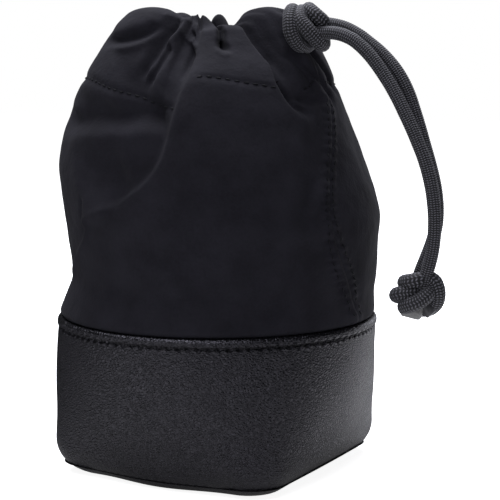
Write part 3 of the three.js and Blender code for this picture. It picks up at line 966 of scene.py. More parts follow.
# Casing stitches: angles in degrees and heights
CASING_LEFT: Line = (
    (-172.0, 116.5), (-145.0, 117.4), (-127.8, 117.2), (-108.8, 114.5), (-95.8, 112.5), (-85.8, 110.2),
    (-77.8, 109.2),
)
CASING_FRONT: Line = (
    (-70.0, 118.2), (-66.2, 118.6), (-57.0, 117.7), (-49.2, 116.7), (-40.5, 115.7), (-33.4, 115.0),
)
CASING_RIGHT: Line = ((-18.0, 114.4), (-13.0, 115.2), (-8.5, 116.8))
CASING_BACK: Line = (
    (-1.0, 116.5), (30.0, 115.6), (70.0, 116.6), (110.0, 115.4), (150.0, 116.4), (166.0, 116.2),
)

# Each crease gives its depth, its width, the fades at its two ends and its line
FOLDS = (
    # Front panel's left edge, lapped over the cloth that runs to the left lobe
    Fold(
        (
            (-109, 78.8), (-98, 82.4), (-90, 86.2), (-85, 89.4), (-81, 94), (-79, 98.2), (-77.5, 104.2),
            (-75, 113.2), (-73.2, 117.5), (-72.7, 123), (-72.2, 130), (-70.6, 135), (-67.5, 140),
        ),
        left=-3.6, left_reach=9.0, right=0.3, right_reach=15.0, edge=1.3, fades=(16.0, 0.0),
    ),
    crease(-2.2, 1.0, (8.0, 2.0), (-76.8, 116), (-76.2, 120), (-75.6, 124), (-75.2, 129)),
    # Pinched cloth between the front panel's corner and the left lobe
    crease(
        1.0, 0.7, (1.5, 1.5), (-85.6, 134.6), (-86, 132.8), (-83.4, 131), (-79.5, 130), (-76, 130.4),
        (-74.6, 132),
    ),
    crease(-2.4, 0.9, (0.6, 0.6), (-80.6, 132.2), (-77.4, 132.4)),
    crease(0.9, 1.6, (3.0, 6.0), (-116, 77), (-107, 79.2), (-98, 82.6)),
    Fold(
        ((-140, 58), (-130.8, 63.7), (-122, 68), (-116, 71.7), (-112.8, 75.6), (-113.4, 79)),
        depth=1.0, width=1.4, left=-1.0, left_reach=4.0, fades=(7.0, 3.0),
    ),
    crease(-0.9, 1.0, (1.6, 2.4), (-117, 77.6), (-115.8, 81), (-115.2, 84.6)),
    # Front panel's right edge, lapped over the right lobe
    Fold(
        (
            (-17.5, 104.7), (-23.5, 107.7), (-27.5, 110.2), (-30.5, 113.2), (-32, 117), (-31.2, 123),
            (-35.8, 131.2), (-41, 141),
        ),
        depth=0.1, width=0.9, left=0.7, left_reach=12.0, right=-3.2, right_reach=6.0, fades=(4.0, 0.0),
    ),
    crease(
        -3.4, 1.1, (6.0, 0.0), (-21.5, 106.6), (-25.6, 109.6), (-28.6, 113.2), (-30, 117), (-29.4, 123),
        (-33.8, 131.2), (-39, 141),
    ),
    # Dart below the front hem, with a small hollow under its end
    crease(-6.5, 0.75, (1.0, 0.0), (-56.8, 128.2), (-57.1, 131), (-57.3, 134), (-57.4, 140)),
    crease(-3.4, 1.3, (0.8, 3.0), (-56.8, 128.4), (-57.2, 132.4)),
    crease(0.5, 0.8, (1.2, 1.2), (-60.6, 129.4), (-59, 127.6), (-56.4, 126.6), (-53.8, 127.8)),
    # Rolls and hollows that run from the tight gather into the left lobe
    crease(1.3, 2.4, (12.0, 4.0), (-140, 129.5), (-121, 131.4), (-110, 133), (-100, 135)),
    crease(
        -2.4, 1.2, (13.0, 3.0), (-140, 126.4), (-122, 127.2), (-113, 127.9), (-106, 129), (-100, 130.7),
        (-96, 132.4), (-92, 137),
    ),
    Fold(
        (
            (-134, 126), (-122.5, 125.8), (-112.2, 125.6), (-104.8, 126.6), (-100, 128.4), (-96.8, 130.4),
            (-94.2, 132.5), (-90, 136),
        ),
        depth=1.0, width=0.9, right=-0.6, right_reach=3.0, fades=(12.0, 3.0),
    ),
    crease(
        -2.1, 1.0, (5.0, 0.0), (-97, 116.5), (-95.6, 120.7), (-94.6, 124), (-94.2, 126.9), (-93, 130.4),
        (-88.5, 133), (-85, 139),
    ),
    crease(
        1.6, 0.8, (4.0, 4.0), (-94.4, 116), (-93.2, 119.4), (-92, 122.5), (-91.8, 125.6), (-91.4, 128.4),
        (-88, 131.4), (-85, 134),
    ),
    crease(-2.2, 1.0, (4.0, 4.0), (-92.8, 115), (-91.4, 118.5), (-90, 122), (-89, 125), (-88, 128)),
    crease(0.9, 1.0, (5.0, 3.0), (-83, 114), (-84, 119), (-84.6, 125), (-84, 130), (-83, 136)),
    crease(
        -3.2, 3.4, (12.0, 3.0), (-150, 105), (-125, 105.4), (-119, 106.2), (-111, 106.9), (-101, 107.2),
        (-93, 107.6), (-85, 107.6), (-80, 107),
    ),
    crease(-1.3, 3.0, (10.0, 6.0), (-140, 111), (-122, 110.4), (-104, 109.6)),
    crease(-1.6, 4.5, (7.0, 4.0), (-108, 116.4), (-97, 115.6), (-87, 115)),
    crease(0.5, 2.4, (14.0, 3.0), (-140, 101.6), (-115, 102), (-99, 102.4), (-86.5, 102.6), (-79, 102.4)),
    crease(-2.2, 6.0, (9.0, 6.0), (-122, 91.5), (-92, 92)),
    crease(1.2, 4.6, (8.0, 6.0), (-120, 80.5), (-108, 80.8), (-97, 82.4)),
    # Soft drag lines low on the front and on the right lobe
    crease(0.6, 4.5, (8.0, 10.0), (-21.5, 61), (-32, 71), (-40, 85)),
    crease(-1.0, 2.6, (5.0, 6.0), (-33, 73.6), (-30.4, 79.6), (-27, 86), (-25, 91)),
    crease(0.9, 1.4, (3.0, 5.0), (-29, 77.4), (-25.4, 82.2), (-22.2, 87.4), (-20, 92)),
    crease(0.8, 0.9, (2.0, 3.0), (-27, 111), (-21.5, 110), (-15, 108.8)),
    crease(-2.2, 1.2, (4.0, 5.0), (-19, 127), (-13, 122.5), (-7, 118.5), (-1, 114), (3, 109)),
    crease(1.2, 0.9, (3.0, 5.0), (-17, 127.4), (-13.5, 125.2), (-9.5, 121.4), (-4.8, 117.5), (0, 112)),
    crease(-1.8, 1.0, (3.0, 4.0), (-22, 125), (-17, 122.4), (-12.6, 118.4), (-9, 114)),
    # Opening in the hem where the cord comes out
    crease(-1.8, 1.2, (5.0, 0.0), (-13.6, 132.6), (-11.4, 134.4), (-9.4, 136.4), (-8, 140)),
    crease(2.2, 2.0, (2.0, 1.0), (-14, 128.4), (-13, 132), (-12, 135)),
    crease(-2.0, 1.3, (3.0, 5.0), (-6, 127), (1, 123), (8, 118), (12, 112)),
    crease(-1.2, 1.2, (3.0, 4.0), (-24, 112), (-17, 111), (-10, 111.6), (-5, 113)),
    crease(-0.4, 5.0, (10.0, 8.0), (8, 84), (14, 98), (18, 110)),
    # Casing stitches draw the cloth in
    crease(-0.6, 1.2, (3.0, 2.0), *CASING_LEFT),
    crease(-0.45, 0.8, (2.5, 2.5), *CASING_FRONT),
    crease(-0.5, 1.2, (3.0, 2.0), *CASING_RIGHT),
    crease(-0.6, 1.3, (3.0, 3.0), *CASING_BACK),
    # Folds behind, where the mouth's valleys run out into the panel
    Fold(
        ((70, 82), (80, 90), (86, 103), (88, 117), (90, 140)),
        depth=-0.6, width=1.6, left=1.0, left_reach=12.0, right=-2.6, right_reach=9.0, fades=(16.0, 0.0),
    ),
    Fold(
        ((140, 84), (134, 98), (132, 115), (131, 140)),
        depth=-0.8, width=1.8, left=-2.0, left_reach=9.0, right=0.8, right_reach=12.0, fades=(18.0, 0.0),
    ),
    Fold(
        ((36, 92), (42, 108), (44, 140)),
        depth=-1.2, width=2.2, left=0.6, left_reach=8.0, right=-1.2, right_reach=7.0, fades=(14.0, 0.0),
    ),
    crease(0.8, 5.0, (8.0, 10.0), (100, 62), (112, 72), (118, 84)),
    crease(-1.0, 5.5, (8.0, 8.0), (150, 58), (160, 70), (178, 76)),
)

# Heights of the upper's outline, with its radius on the left and on the right of the photographed view
OUTLINE = (
    (46.4, 45.4, 45.4), (46.9, 47.1, 47.2), (47.7, 47.6, 47.7), (48.8, 47.5, 47.8), (50.4, 46.8, 47.7),
    (54.0, 45.3, 47.5), (58.0, 43.9, 47.8), (62.0, 43.9, 48.2), (70.0, 45.0, 48.7), (77.0, 46.1, 49.2),
    (84.0, 47.0, 47.6), (90.0, 47.4, 45.5), (97.0, 46.6, 43.0), (104.0, 45.0, 40.2), (111.0, 43.0, 37.4),
    (118.0, 39.9, 34.8), (124.0, 36.2, 31.8), (128.0, 33.4, 29.0), (131.6, 30.6, 26.4), (135.0, 27.6, 23.6),
)


@dataclass(frozen=True)
class Upper:
    """The gathered nylon upper: two panels from inside the leather to the mouth's hem, in millimetres."""

    base: Base
    tuck: float = 8.0
    tuck_inset: float = 2.85
    brim_height: float = 135.0
    fold_rise: float = 1.8
    fold_start: float = 30.0
    hem_start: float = 114.0
    facing_radius: float = 12.4
    facing_follow: float = 0.12
    facing_mean: float = 24.0
    facing_end: float = 116.0
    facing_foot: float = 34.0
    mouth_shift: float = 2.2
    gather_heights: Pair = (105.0, 133.0)
    gather_power: float = 1.1
    dent_shown: float = 0.4
    thickness: float = 0.8
    cut: Pair = (152.0, 140.0)
    right_way: float = 25.0
    seam_edge: float = 0.9
    seam_slope: Pair = (-0.7, 0.5)
    seam_rise: float = 0.7
    seam_top: Pair = (112.0, 118.0)
    seam_foot: Pair = (46.0, 50.0)
    groove: float = 0.27
    groove_width: float = 0.45
    pucker: float = 0.4
    pucker_width: float = 1.5
    pucker_pitch: float = 2.6
    pucker_sway: float = 2.2
    pucker_sway_pitch: float = 3.3
    rim: float = 0.5
    rim_gap: float = 0.8
    rim_width: float = 0.5
    rim_heights: Pair = (80.0, 92.0)
    lap: float = 2.0
    lap_sink: float = 0.4
    crumples: tuple[Triple, ...] = ((0.45, 15.0, 1.7), (0.16, 5.0, 5.2))
    crumple_heights: Pair = (48.0, 58.0)
    grid: tuple[int, int] = (236, 196)
    zones: Triple = (0.03, 0.8, 0.93)
    crowding: float = 0.6
    outline: Array = field(default_factory=lambda: smooth_line(OUTLINE, 12))
    seam: Array = field(default_factory=lambda: smooth_line(SEAM_LINE, 12))
    seam_rows: Array = field(default_factory=lambda: smooth_line(SEAM_ROWS, 12))

    def seam_angle(self, height: Array) -> Array:
        """Returns the right side seam's angle, in radians."""
        return np.radians(np.interp(height, self.seam[:, 1], self.seam[:, 0]))

    def seam_row(self, height: Array) -> Array:
        """Returns the distance from a side seam's middle to its rows of stitches."""
        return np.interp(height, self.seam_rows[:, 0], self.seam_rows[:, 1])

    def unroll_radius(self, height: Array) -> Array:
        """Returns the mean radius of the outline at a height."""
        mean = (self.outline[:, 1] + self.outline[:, 2]) / 2
        return np.interp(height, self.outline[:, 0], mean)

    def envelope(self, angle: Array, height: Array) -> Array:
        """Measures the outline before gathers and folds.

        Args:
            angle: Angles about the axis, in radians.
            height: Heights, in millimetres.

        Returns:
            Radii in millimetres.
        """
        left = np.interp(height, self.outline[:, 0], self.outline[:, 1])
        right = np.interp(height, self.outline[:, 0], self.outline[:, 2])
        turn = np.cos(angle - math.radians(self.right_way))
        return (left + right) / 2 + (right - left) / 2 * turn

    def gathers(self, angle: Array, height: Array) -> tuple[Array, Array]:
        """Measures the gathers at full strength.

        Args:
            angle: Angles about the axis, in radians.
            height: Heights, in millimetres.

        Returns:
            How far the cloth stands out, and the hem's height, in millimetres.
        """
        drop = self.brim_height - height
        spots = np.stack([g.angle + g.drift * drop for g in GATHERS])
        degrees = (np.degrees(angle) - spots[0]) % 360.0
        spots = np.vstack([spots - spots[0], np.full((1, len(drop)), 360.0)])
        swells = np.array([*[g.swell for g in GATHERS], GATHERS[0].swell])
        tops = np.array([*[g.top for g in GATHERS], GATHERS[0].top])
        index = np.clip((degrees[None, :] >= spots).sum(axis=0) - 1, 0, len(GATHERS) - 1)
        points = np.arange(len(degrees))
        start, end = spots[index, points], spots[index + 1, points]
        share = (degrees - start) / (end - start)
        rising = swells[index + 1] > swells[index]
        mix = np.where(rising, np.sin(share * np.pi / 2), 1 - np.cos(share * np.pi / 2))
        swell = swells[index] + (swells[index + 1] - swells[index]) * mix
        return swell, tops[index] + (tops[index + 1] - tops[index]) * mix

    def seam_relief(self, angle: Array, height: Array, radius: Array) -> Array:
        """Measures the two side seams' raised bands, rows and puckers.

        Args:
            angle: Angles about the axis, in radians.
            height: Heights, in millimetres.
            radius: Radii in millimetres.

        Returns:
            One value in millimetres for each point.
        """
        turn = (angle - self.seam_angle(height) + np.pi / 2) % np.pi - np.pi / 2
        away = np.abs(turn) * radius
        row = self.seam_row(height)
        band = 1 - smoothstep(away - row - self.seam_edge, *self.seam_slope)
        groove = self.groove * np.exp(-(((away - row) / self.groove_width) ** 2))
        uneven = self.pucker_sway * np.sin(height / self.pucker_sway_pitch)
        waves = np.sin(2 * np.pi * height / self.pucker_pitch + uneven + np.sign(turn))
        puckers = self.pucker * waves * np.exp(-(((away - row) / self.pucker_width) ** 2))
        edge = np.exp(-(((away - row - self.rim_gap) / self.rim_width) ** 2))
        rims = self.rim * smoothstep(height, *self.rim_heights) * edge
        shown = smoothstep(height, *self.seam_foot) * (1 - smoothstep(height, *self.seam_top))
        return shown * (self.seam_rise * band - groove + puckers + rims)

    def wall_radius(self, angle: Array, height: Array) -> Array:
        """Measures the cloth with gathers, folds, seams and crumples.

        Args:
            angle: Angles about the axis, in radians.
            height: Heights, in millimetres.

        Returns:
            Radii in millimetres.
        """
        radius = self.envelope(angle, height)
        swell, _ = self.gathers(angle, height)
        radius = radius + swell * smoothstep(height, *self.gather_heights) ** self.gather_power
        turned = (angle + np.pi) % (2 * np.pi) - np.pi
        unroll = self.unroll_radius(height)
        for fold in FOLDS:
            for turns in (-1, 0, 1):
                across = (turned + 2 * np.pi * turns) * unroll
                radius = radius + fold.height(across, height, self.unroll_radius)
        radius = radius + self.seam_relief(angle, height, radius)
        points = around(angle, radius, height)
        free = smoothstep(height, *self.crumple_heights)
        dents = sum(depth * crumple(points, size, seed) for depth, size, seed in self.crumples)
        return radius + free * dents

    def surface(self, angle_of: Callable, v: Array, inset: float | Array = 0.0) -> Array:
        """Places points of the cloth.

        Args:
            angle_of: Gives the points' angles from their heights.
            v: Shares along the cloth, from the tucked edge to the facing's edge.
            inset: Distance inside the cloth's face, in millimetres.

        Returns:
            The points in millimetres.
        """
        tuck_end, wall_end, fold_end = self.zones
        tuck_share = np.clip(v / tuck_end, 0.0, 1.0)
        wall_share = np.clip((v - tuck_end) / (wall_end - tuck_end), 0.0, 1.0)
        fold_share = np.clip((v - wall_end) / (fold_end - wall_end), 0.0, 1.0)
        facing_share = np.clip((v - fold_end) / (1.0 - fold_end), 0.0, 1.0)
        low = self.base.height
        nominal = low + (self.brim_height - low) * wall_share
        angle = angle_of(nominal)
        _, top = self.gathers(angle, np.full_like(nominal, self.brim_height))
        start = math.radians(self.fold_start)
        roll = self.fold_rise / (1 - math.sin(start))
        brim = top - self.fold_rise
        height = nominal + (brim - self.brim_height) * smoothstep(nominal, self.hem_start, self.brim_height)
        radius = self.wall_radius(angle, nominal)
        tucked = low - self.tuck * (1 - tuck_share)
        radius = np.where(v < tuck_end, self.base.radius(angle, tucked) - self.tuck_inset, radius)
        height = np.where(v < tuck_end, tucked, height)
        facing = self.facing_radius + self.facing_follow * (radius - self.facing_mean)
        turn = start + (np.pi - start) * fold_share
        half = (radius - facing) / (1 + math.cos(start))
        over = facing + half * (1 + np.cos(turn))
        swell, _ = self.gathers(angle, nominal)
        dent = np.minimum(0.0, radius - self.envelope(angle, nominal) - swell)
        sag = self.dent_shown * dent * np.sin(np.pi * fold_share)
        lift = roll * (np.sin(turn) - math.sin(start)) + sag
        for bulb in BULBS:
            lift = lift + bulb.height(angle, fold_share, over)
        height = np.where(v > wall_end, height + lift, height)
        radius = np.where(v > wall_end, over, radius)
        inner = facing + (self.facing_foot - facing) * facing_share**4
        radius = np.where(v > fold_end, inner, radius)
        hem = brim - roll * math.sin(start)
        height = np.where(v > fold_end, hem + (self.facing_end - hem) * facing_share, height)
        middle = -self.mouth_shift * smoothstep(v, wall_end, fold_end)
        way = math.radians(self.right_way)
        radius = radius - inset
        x = radius * np.cos(angle) + middle * math.cos(way)
        y = radius * np.sin(angle) + middle * math.sin(way)
        return np.stack([x, y, height], axis=1)

    def panel_shape(
        self, panel: Panel, inset: float = 0.0, span: Pair = (0.0, 1.0), lap: float = 0.0
    ) -> Shape:
        """Returns the shape of one panel, or of a layer behind it.

        Args:
            panel: The panel.
            inset: Distance behind the cloth's face, in millimetres.
            span: Part of the cloth's length.
            lap: How far the panel runs on under the other one at both seams, in millimetres.

        Returns:
            The shape.
        """
        margin = lap / (np.pi * self.base.rim_radius)

        def shape(u: Array, v: Array) -> Array:
            """Places the panel's points.

            Args:
                u: Shares round or across the sheet.
                v: Shares along the sheet.

            Returns:
                The points in millimetres, one row each.
            """
            along = span[0] + (span[1] - span[0]) * v
            across = u + self.crowding / (2 * np.pi) * np.sin(2 * np.pi * u)
            across = across + margin * (2 * across - 1)
            under = smoothstep(np.abs(across - 0.5), 0.5 - margin, 0.5 + 0.2 * margin) if lap else 0.0
            depth = inset + self.lap_sink * under
            return self.surface(lambda z: self.seam_angle(z) + np.pi * (across + panel.value), along, depth)

        return shape

    def on_wall(self, line: Array) -> Array:
        """Lays a line on the wall's face.

        Args:
            line: Angles in degrees and heights in millimetres, one row each.

        Returns:
            The points in millimetres, one row each.
        """
        share = (line[:, 1] - self.base.height) / (self.brim_height - self.base.height)
        v = self.zones[0] + (self.zones[1] - self.zones[0]) * share
        return self.surface(lambda z: np.radians(line[:, 0]), v)

    def build(self, nylon: Material) -> list[Piece]:
        """Builds the two nylon panels.

        Args:
            nylon: Their material.

        Returns:
            The front panel and the back panel.
        """
        made = []
        for panel in Panel:
            name = panel.name.lower()
            lap = self.lap if panel is Panel.BACK else 0.0
            piece = roll_sheet(f"nylon_panel_{name}", self.grid, self.cut, self.panel_shape(panel, lap=lap))
            apply_modifier(piece, "SMOOTH", factor=0.5, iterations=2)
            thicken(piece, self.thickness)
            dress(piece, nylon, Slot.NYLON, f"nylon_{name}", f"casing_{name}")
            made.append(piece)
        return made


# Braided cord


@dataclass(frozen=True)
class Braid:
    """The braided drawcord's sheath, in millimetres."""

    diameter: float = 3.8
    yarns: int = 14
    pick: float = 0.64
    relief: float = 0.1
    sides: int = 42
    step: float = 0.16

    SLANT = 0.42

    def tube(self, name: str, path: Array, squeeze: float = 1.0) -> Piece:
        """Builds a length of cord.

        Args:
            name: The piece's name.
            path: Points of its middle line, in millimetres.
            squeeze: Factor on its diameter, over 1 where a knot bunches it.

        Returns:
            The closed tube.
        """
        length = line_length(path)
        rings = max(8, round(length / self.step))
        middle = even_line(path, rings + 1)
        run = unit(np.gradient(middle, axis=0))
        side = np.empty_like(run)
        side[0] = np.cross(run[0], [0.0, 1.0, 0.0] if abs(run[0][1]) < 0.8 else [0.0, 0.0, 1.0])
        for i in range(1, len(run)):
            side[i] = side[i - 1] - run[i] * (side[i - 1] @ run[i])
        side = unit(side)
        other = np.cross(run, side)

        def shape(u: Array, v: Array) -> Array:
            """Places the sheath's points round the middle line.

            Args:
                u: Shares round the cord.
                v: Shares along it.

            Returns:
                The points in millimetres, one row each.
            """
            ring = np.round(v * rings).astype(int)
            column = self.yarns * u
            slant = np.abs(column % 2.0 - 1.0) * self.SLANT
            yarn = np.abs(np.sin(np.pi * column)) ** 0.5
            lift = np.sin(2 * np.pi * (v * length / self.pick + slant)) * yarn
            radius = squeeze * self.diameter / 2 + self.relief * (lift - 0.5)
            turn = -2 * np.pi * u
            spread = np.cos(turn)[:, None] * side[ring] + np.sin(turn)[:, None] * other[ring]
            return middle[ring] + radius[:, None] * spread

        piece = roll_sheet(name, (self.sides, rings), (float(self.yarns), length / self.pick), shape)
        close_ends(piece)
        return piece


# The tails' shared middle line past the cinch knot: distances along X and heights
TAIL_ROUTE: Line = (
    (36.0, 131.7), (42.3, 131.1), (47.0, 129.3), (50.4, 127.0), (53.8, 124.1), (57.0, 120.6), (59.8, 116.8),
    (62.2, 112.6), (64.0, 108.6), (65.9, 104.2), (67.5, 100.1), (69.2, 95.6), (70.6, 91.1), (71.6, 86.8),
    (72.2, 82.3), (72.3, 77.9), (71.8, 73.4), (70.7, 68.9), (68.6, 62.6), (67.8, 59.8),
)

# Turn of the two strands about each other: millimetres along the tail and degrees
STRAND_TURNS = (
    (0.0, 24.0), (8.0, 46.0), (14.0, 62.0), (21.0, 78.0), (27.5, 67.0), (32.0, 54.0), (37.0, 48.0),
    (42.0, 57.0), (46.0, 69.0), (51.0, 80.0), (56.0, 90.0), (61.0, 97.0), (75.0, 98.0), (82.0, 108.0),
    (87.0, 124.0), (94.0, 136.0),
)

# The knots' windings as the photograph sees them: millimetres right, up and forwards of the knot's middle
CINCH_PATH = (
    (-1.6, -1.0, -2.6), (-3.6, 0.6, -3.6), (-4.6, 3.4, -2.0), (-4.0, 4.9, 0.8), (-4.7, 2.2, 3.4),
    (-4.4, -1.4, 4.0), (-2.6, -4.2, 2.4), (-0.4, -5.0, -0.8), (1.6, -3.2, -4.2), (1.4, 1.6, -4.8),
    (-0.4, 4.4, -2.6), (-1.8, 4.2, 1.4), (-1.8, 2.0, 4.2), (0.6, -1.0, 5.2), (3.4, -3.8, 3.6),
    (4.7, -4.4, 0.4), (4.4, -1.6, -3.2), (3.0, 2.6, -4.0), (1.0, 5.0, -1.6), (0.8, 5.0, 1.4),
    (2.6, 3.4, 3.2), (4.6, 1.6, 2.4), (4.4, 0.4, -0.4),
)
END_PATH = (
    (0.6, 3.6, -1.0), (2.2, 5.2, 1.4), (4.4, 4.4, 2.9), (5.4, 1.6, 2.9), (5.2, -1.6, 1.4),
    (3.4, -3.8, -1.0), (0.4, -4.2, -2.6), (-2.4, -3.9, -1.4), (-3.5, -2.8, 1.6), (-2.5, -2.0, 3.9),
    (-0.6, -1.1, 5.0), (1.8, 0.5, 4.5), (3.3, 1.8, 2.0), (3.3, 1.8, -1.2), (1.6, 0.6, -3.6),
    (-1.8, -0.4, -4.0), (-4.6, -0.4, -2.4), (-5.7, 0.2, 0.0), (-4.6, 0.9, 2.0), (-2.0, 1.2, 2.4),
    (0.2, 1.2, 0.8), (0.4, 1.4, -1.2), (-1.0, 2.4, -3.2), (-2.9, 3.4, -1.8), (-3.4, 3.9, 0.6),
    (-2.0, 4.5, 2.8), (0.0, 4.9, 3.0), (1.2, 4.4, 1.2),
)

# The two fused tips: start and end from the end knot's middle, in the same directions
TIPS = {
    "a": ((2.0, -2.4, 0.6), (4.4, -4.9, 1.2)),
    "b": ((-4.0, -3.6, 0.8), (1.2, -4.6, 2.4)),
}

# The two strands and their sides of the pair
SIDES = {"a": 1, "b": -1}

# A tip's outline: share of its length and radius in millimetres
TIP_PROFILE: Line = ((0.0, 2.0), (0.8, 2.1), (0.93, 1.95), (0.985, 1.5), (1.0, 0.9), (0.985, 0.05))


@dataclass(frozen=True)
class Drawcord:
    """The drawcord: its loop in the casing, leads, tails and two knots, in millimetres."""

    braid: Braid
    upper: Upper
    height: float = 131.6
    across: float = -5.0
    spread: float = 2.05
    lead_start: float = 14.1
    lead_end: float = 34.0
    lead_squeeze: float = 0.95
    neck_start: float = 28.0
    tail_start: float = 34.3
    seen_from: float = 28.2
    cinch_middle: Triple = (32.2, -5.0, 131.7)
    end_middle: Triple = (67.1, -5.0, 57.0)
    knot_swell: float = 1.16
    turn_end: float = 46.3
    samples: int = 160
    smoothing: int = 6
    loop_opening: float = 17.0
    loop_radius: float = 15.6
    loop_drop: float = 5.4
    loop_top: float = 129.0
    tip_grid: tuple[int, int] = (24, 27)
    tip_cut: Pair = (12.0, 6.0)
    tip_melts: tuple[Triple, ...] = ((0.07, 5.0, 1.3), (0.06, 3.0, 0.0))

    def strand(self, side: int) -> Array:
        """Draws the middle line of one tail strand, from inside the cinch knot to the end knot.

        Args:
            side: Which side of the pair it runs on, 1 or -1.

        Returns:
            The points in millimetres, one row each.
        """
        route = even_line(smooth_line([(self.neck_start, self.height), *TAIL_ROUTE]), self.samples)
        run = unit(np.gradient(route, axis=0))
        along = np.linspace(0.0, line_length(route), len(route))
        turn = np.radians(np.interp(along, *np.transpose(STRAND_TURNS)))
        window = 2 * self.smoothing + 1
        padded = np.pad(turn, self.smoothing, mode="edge")
        turn = np.convolve(padded, np.full(window, 1 / window), mode="valid")
        outward = np.stack([-run[:, 1], run[:, 0]], axis=1)
        offset = side * self.spread * np.cos(turn)[:, None] * outward
        depth = self.across + side * self.spread * np.sin(turn)
        return np.stack([route[:, 0] + offset[:, 0], depth, route[:, 1] + offset[:, 1]], axis=1)

    def seen_axes(self) -> Array:
        """Gives the directions right, up and forwards as the photograph sees the knots.

        Returns:
            The three directions, one row each.
        """
        way = math.radians(self.seen_from)
        right = [math.cos(way), math.sin(way), 0.0]
        forwards = [math.sin(way), -math.cos(way), 0.0]
        return np.array([right, [0.0, 0.0, 1.0], forwards])

    def knot_path(self, middle: Sequence[float], path: Sequence[Sequence[float]]) -> Array:
        """Returns a knot's winding round its middle."""
        return np.array(middle) + smooth_line(path, 14) @ self.seen_axes()

    def loop_path(self) -> Array:
        """Draws the loop's middle line inside the casing.

        Returns:
            The points in millimetres, one row each.
        """
        gap = math.radians(self.loop_opening)
        seam = float(self.upper.seam_angle(np.array([self.height]))[0])
        angle = np.linspace(seam + gap, seam + 2 * np.pi - gap, 240)
        _, top = self.upper.gathers(angle, np.full_like(angle, self.height))
        way = math.radians(self.upper.right_way)
        x = self.loop_radius * np.cos(angle) - self.upper.mouth_shift * math.cos(way)
        y = self.loop_radius * np.sin(angle) - self.upper.mouth_shift * math.sin(way)
        return np.stack([x, y, np.minimum(top - self.loop_drop, self.loop_top)], axis=1)

    def build(self, cord: Material) -> None:
        """Builds the cord and its knots.

        Args:
            cord: The braid's material.
        """
        leads = [self.build_lead(name, side, cord) for name, side in SIDES.items()]
        dress(self.braid.tube("casing_cord", self.loop_path()), cord, Slot.CORD, "drawcord_loop")
        winding = self.knot_path(self.cinch_middle, CINCH_PATH)
        knot = self.braid.tube("cord_cinch_knot", winding, self.knot_swell)
        dress(knot, cord, Slot.CORD, "cinch_knot", body=Body.KNOT)
        winding = self.knot_path(self.end_middle, END_PATH)
        end = self.braid.tube("cord_end_knot", winding, self.knot_swell)
        dress(end, cord, Slot.CORD, "end_knot", body=Body.TAIL)
        tips = [self.build_tip(name, ends) for name, ends in TIPS.items()]
        for name, side in SIDES.items():
            self.build_tail(name, side, cord)

    def build_lead(self, name: str, side: int, cord: Material) -> Piece:
        """Builds one straight lead between the casing and the cinch knot.

        Args:
            name: The strand's letter.
            side: Which side of the pair it runs on, 1 or -1.
            cord: The braid's material.

        Returns:
            The lead.
        """
        z = self.height + side * self.spread
        path = np.array([[self.lead_start, self.across, z], [self.lead_end, self.across, z]])
        lead = self.braid.tube(f"cord_lead_{name}", path, self.lead_squeeze)
        return dress(lead, cord, Slot.CORD, f"lead_{name}")

    def build_tail(self, name: str, side: int, cord: Material) -> None:
        """Builds one tail strand, which starts inside the cinch knot and runs from the neck to the tail.

        Args:
            name: The strand's letter.
            side: Which side of the pair it runs on, 1 or -1.
            cord: The braid's material.
        """
        path = self.strand(side)
        tail = self.braid.tube(f"cord_tail_{name}", path)
        dress(tail, cord, Slot.CORD, f"tail_{name}", f"neck_{name}", body=None)
        start = (self.tail_start * MM, self.across * MM, self.height * MM)
        end = (self.turn_end * MM, self.across * MM, self.height * MM)
        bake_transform(tail)

    def build_tip(self, name: str, ends: Sequence[Sequence[float]]) -> Piece:
        """Builds one cut and fused cord tip on the end knot.

        Args:
            name: The strand's letter.
            ends: The tip's start and end, as the knots were seen.

        Returns:
            The tip.
        """
        start, end = np.array(self.end_middle) + np.array(ends) @ self.seen_axes()
        way = (end - start) / np.linalg.norm(end - start)
        side = np.cross(way, [0.0, 1.0, 0.0])
        side /= np.linalg.norm(side)
        across = np.cross(way, side)
        reach = np.linalg.norm(end - start)
        rings = self.tip_grid[1]
        profile = even_line(np.array(TIP_PROFILE), rings + 1)

        def shape(u: Array, v: Array) -> Array:
            """Places the tip's points, uneven where the yarns melted.

            Args:
                u: Shares round the tip.
                v: Shares along it.

            Returns:
                The points in millimetres, one row each.
            """
            ring = np.round(v * rings).astype(int)
            turn = -2 * np.pi * u
            melt = 1 + sum(size * np.sin(lobes * turn + shift) * v for size, lobes, shift in self.tip_melts)
            spread = np.cos(turn)[:, None] * side + np.sin(turn)[:, None] * across
            middle = start + (profile[ring, 0] * reach)[:, None] * way
            return middle + (profile[ring, 1] * melt)[:, None] * spread

        tip = roll_sheet(f"cord_tip_{name}", self.tip_grid, self.tip_cut, shape)
        close_ends(tip)
        return dress(tip, FUSED_FINISHES[name].material(), Slot.FUSED, f"tip_{name}", body=Body.TAIL)


# Stitching


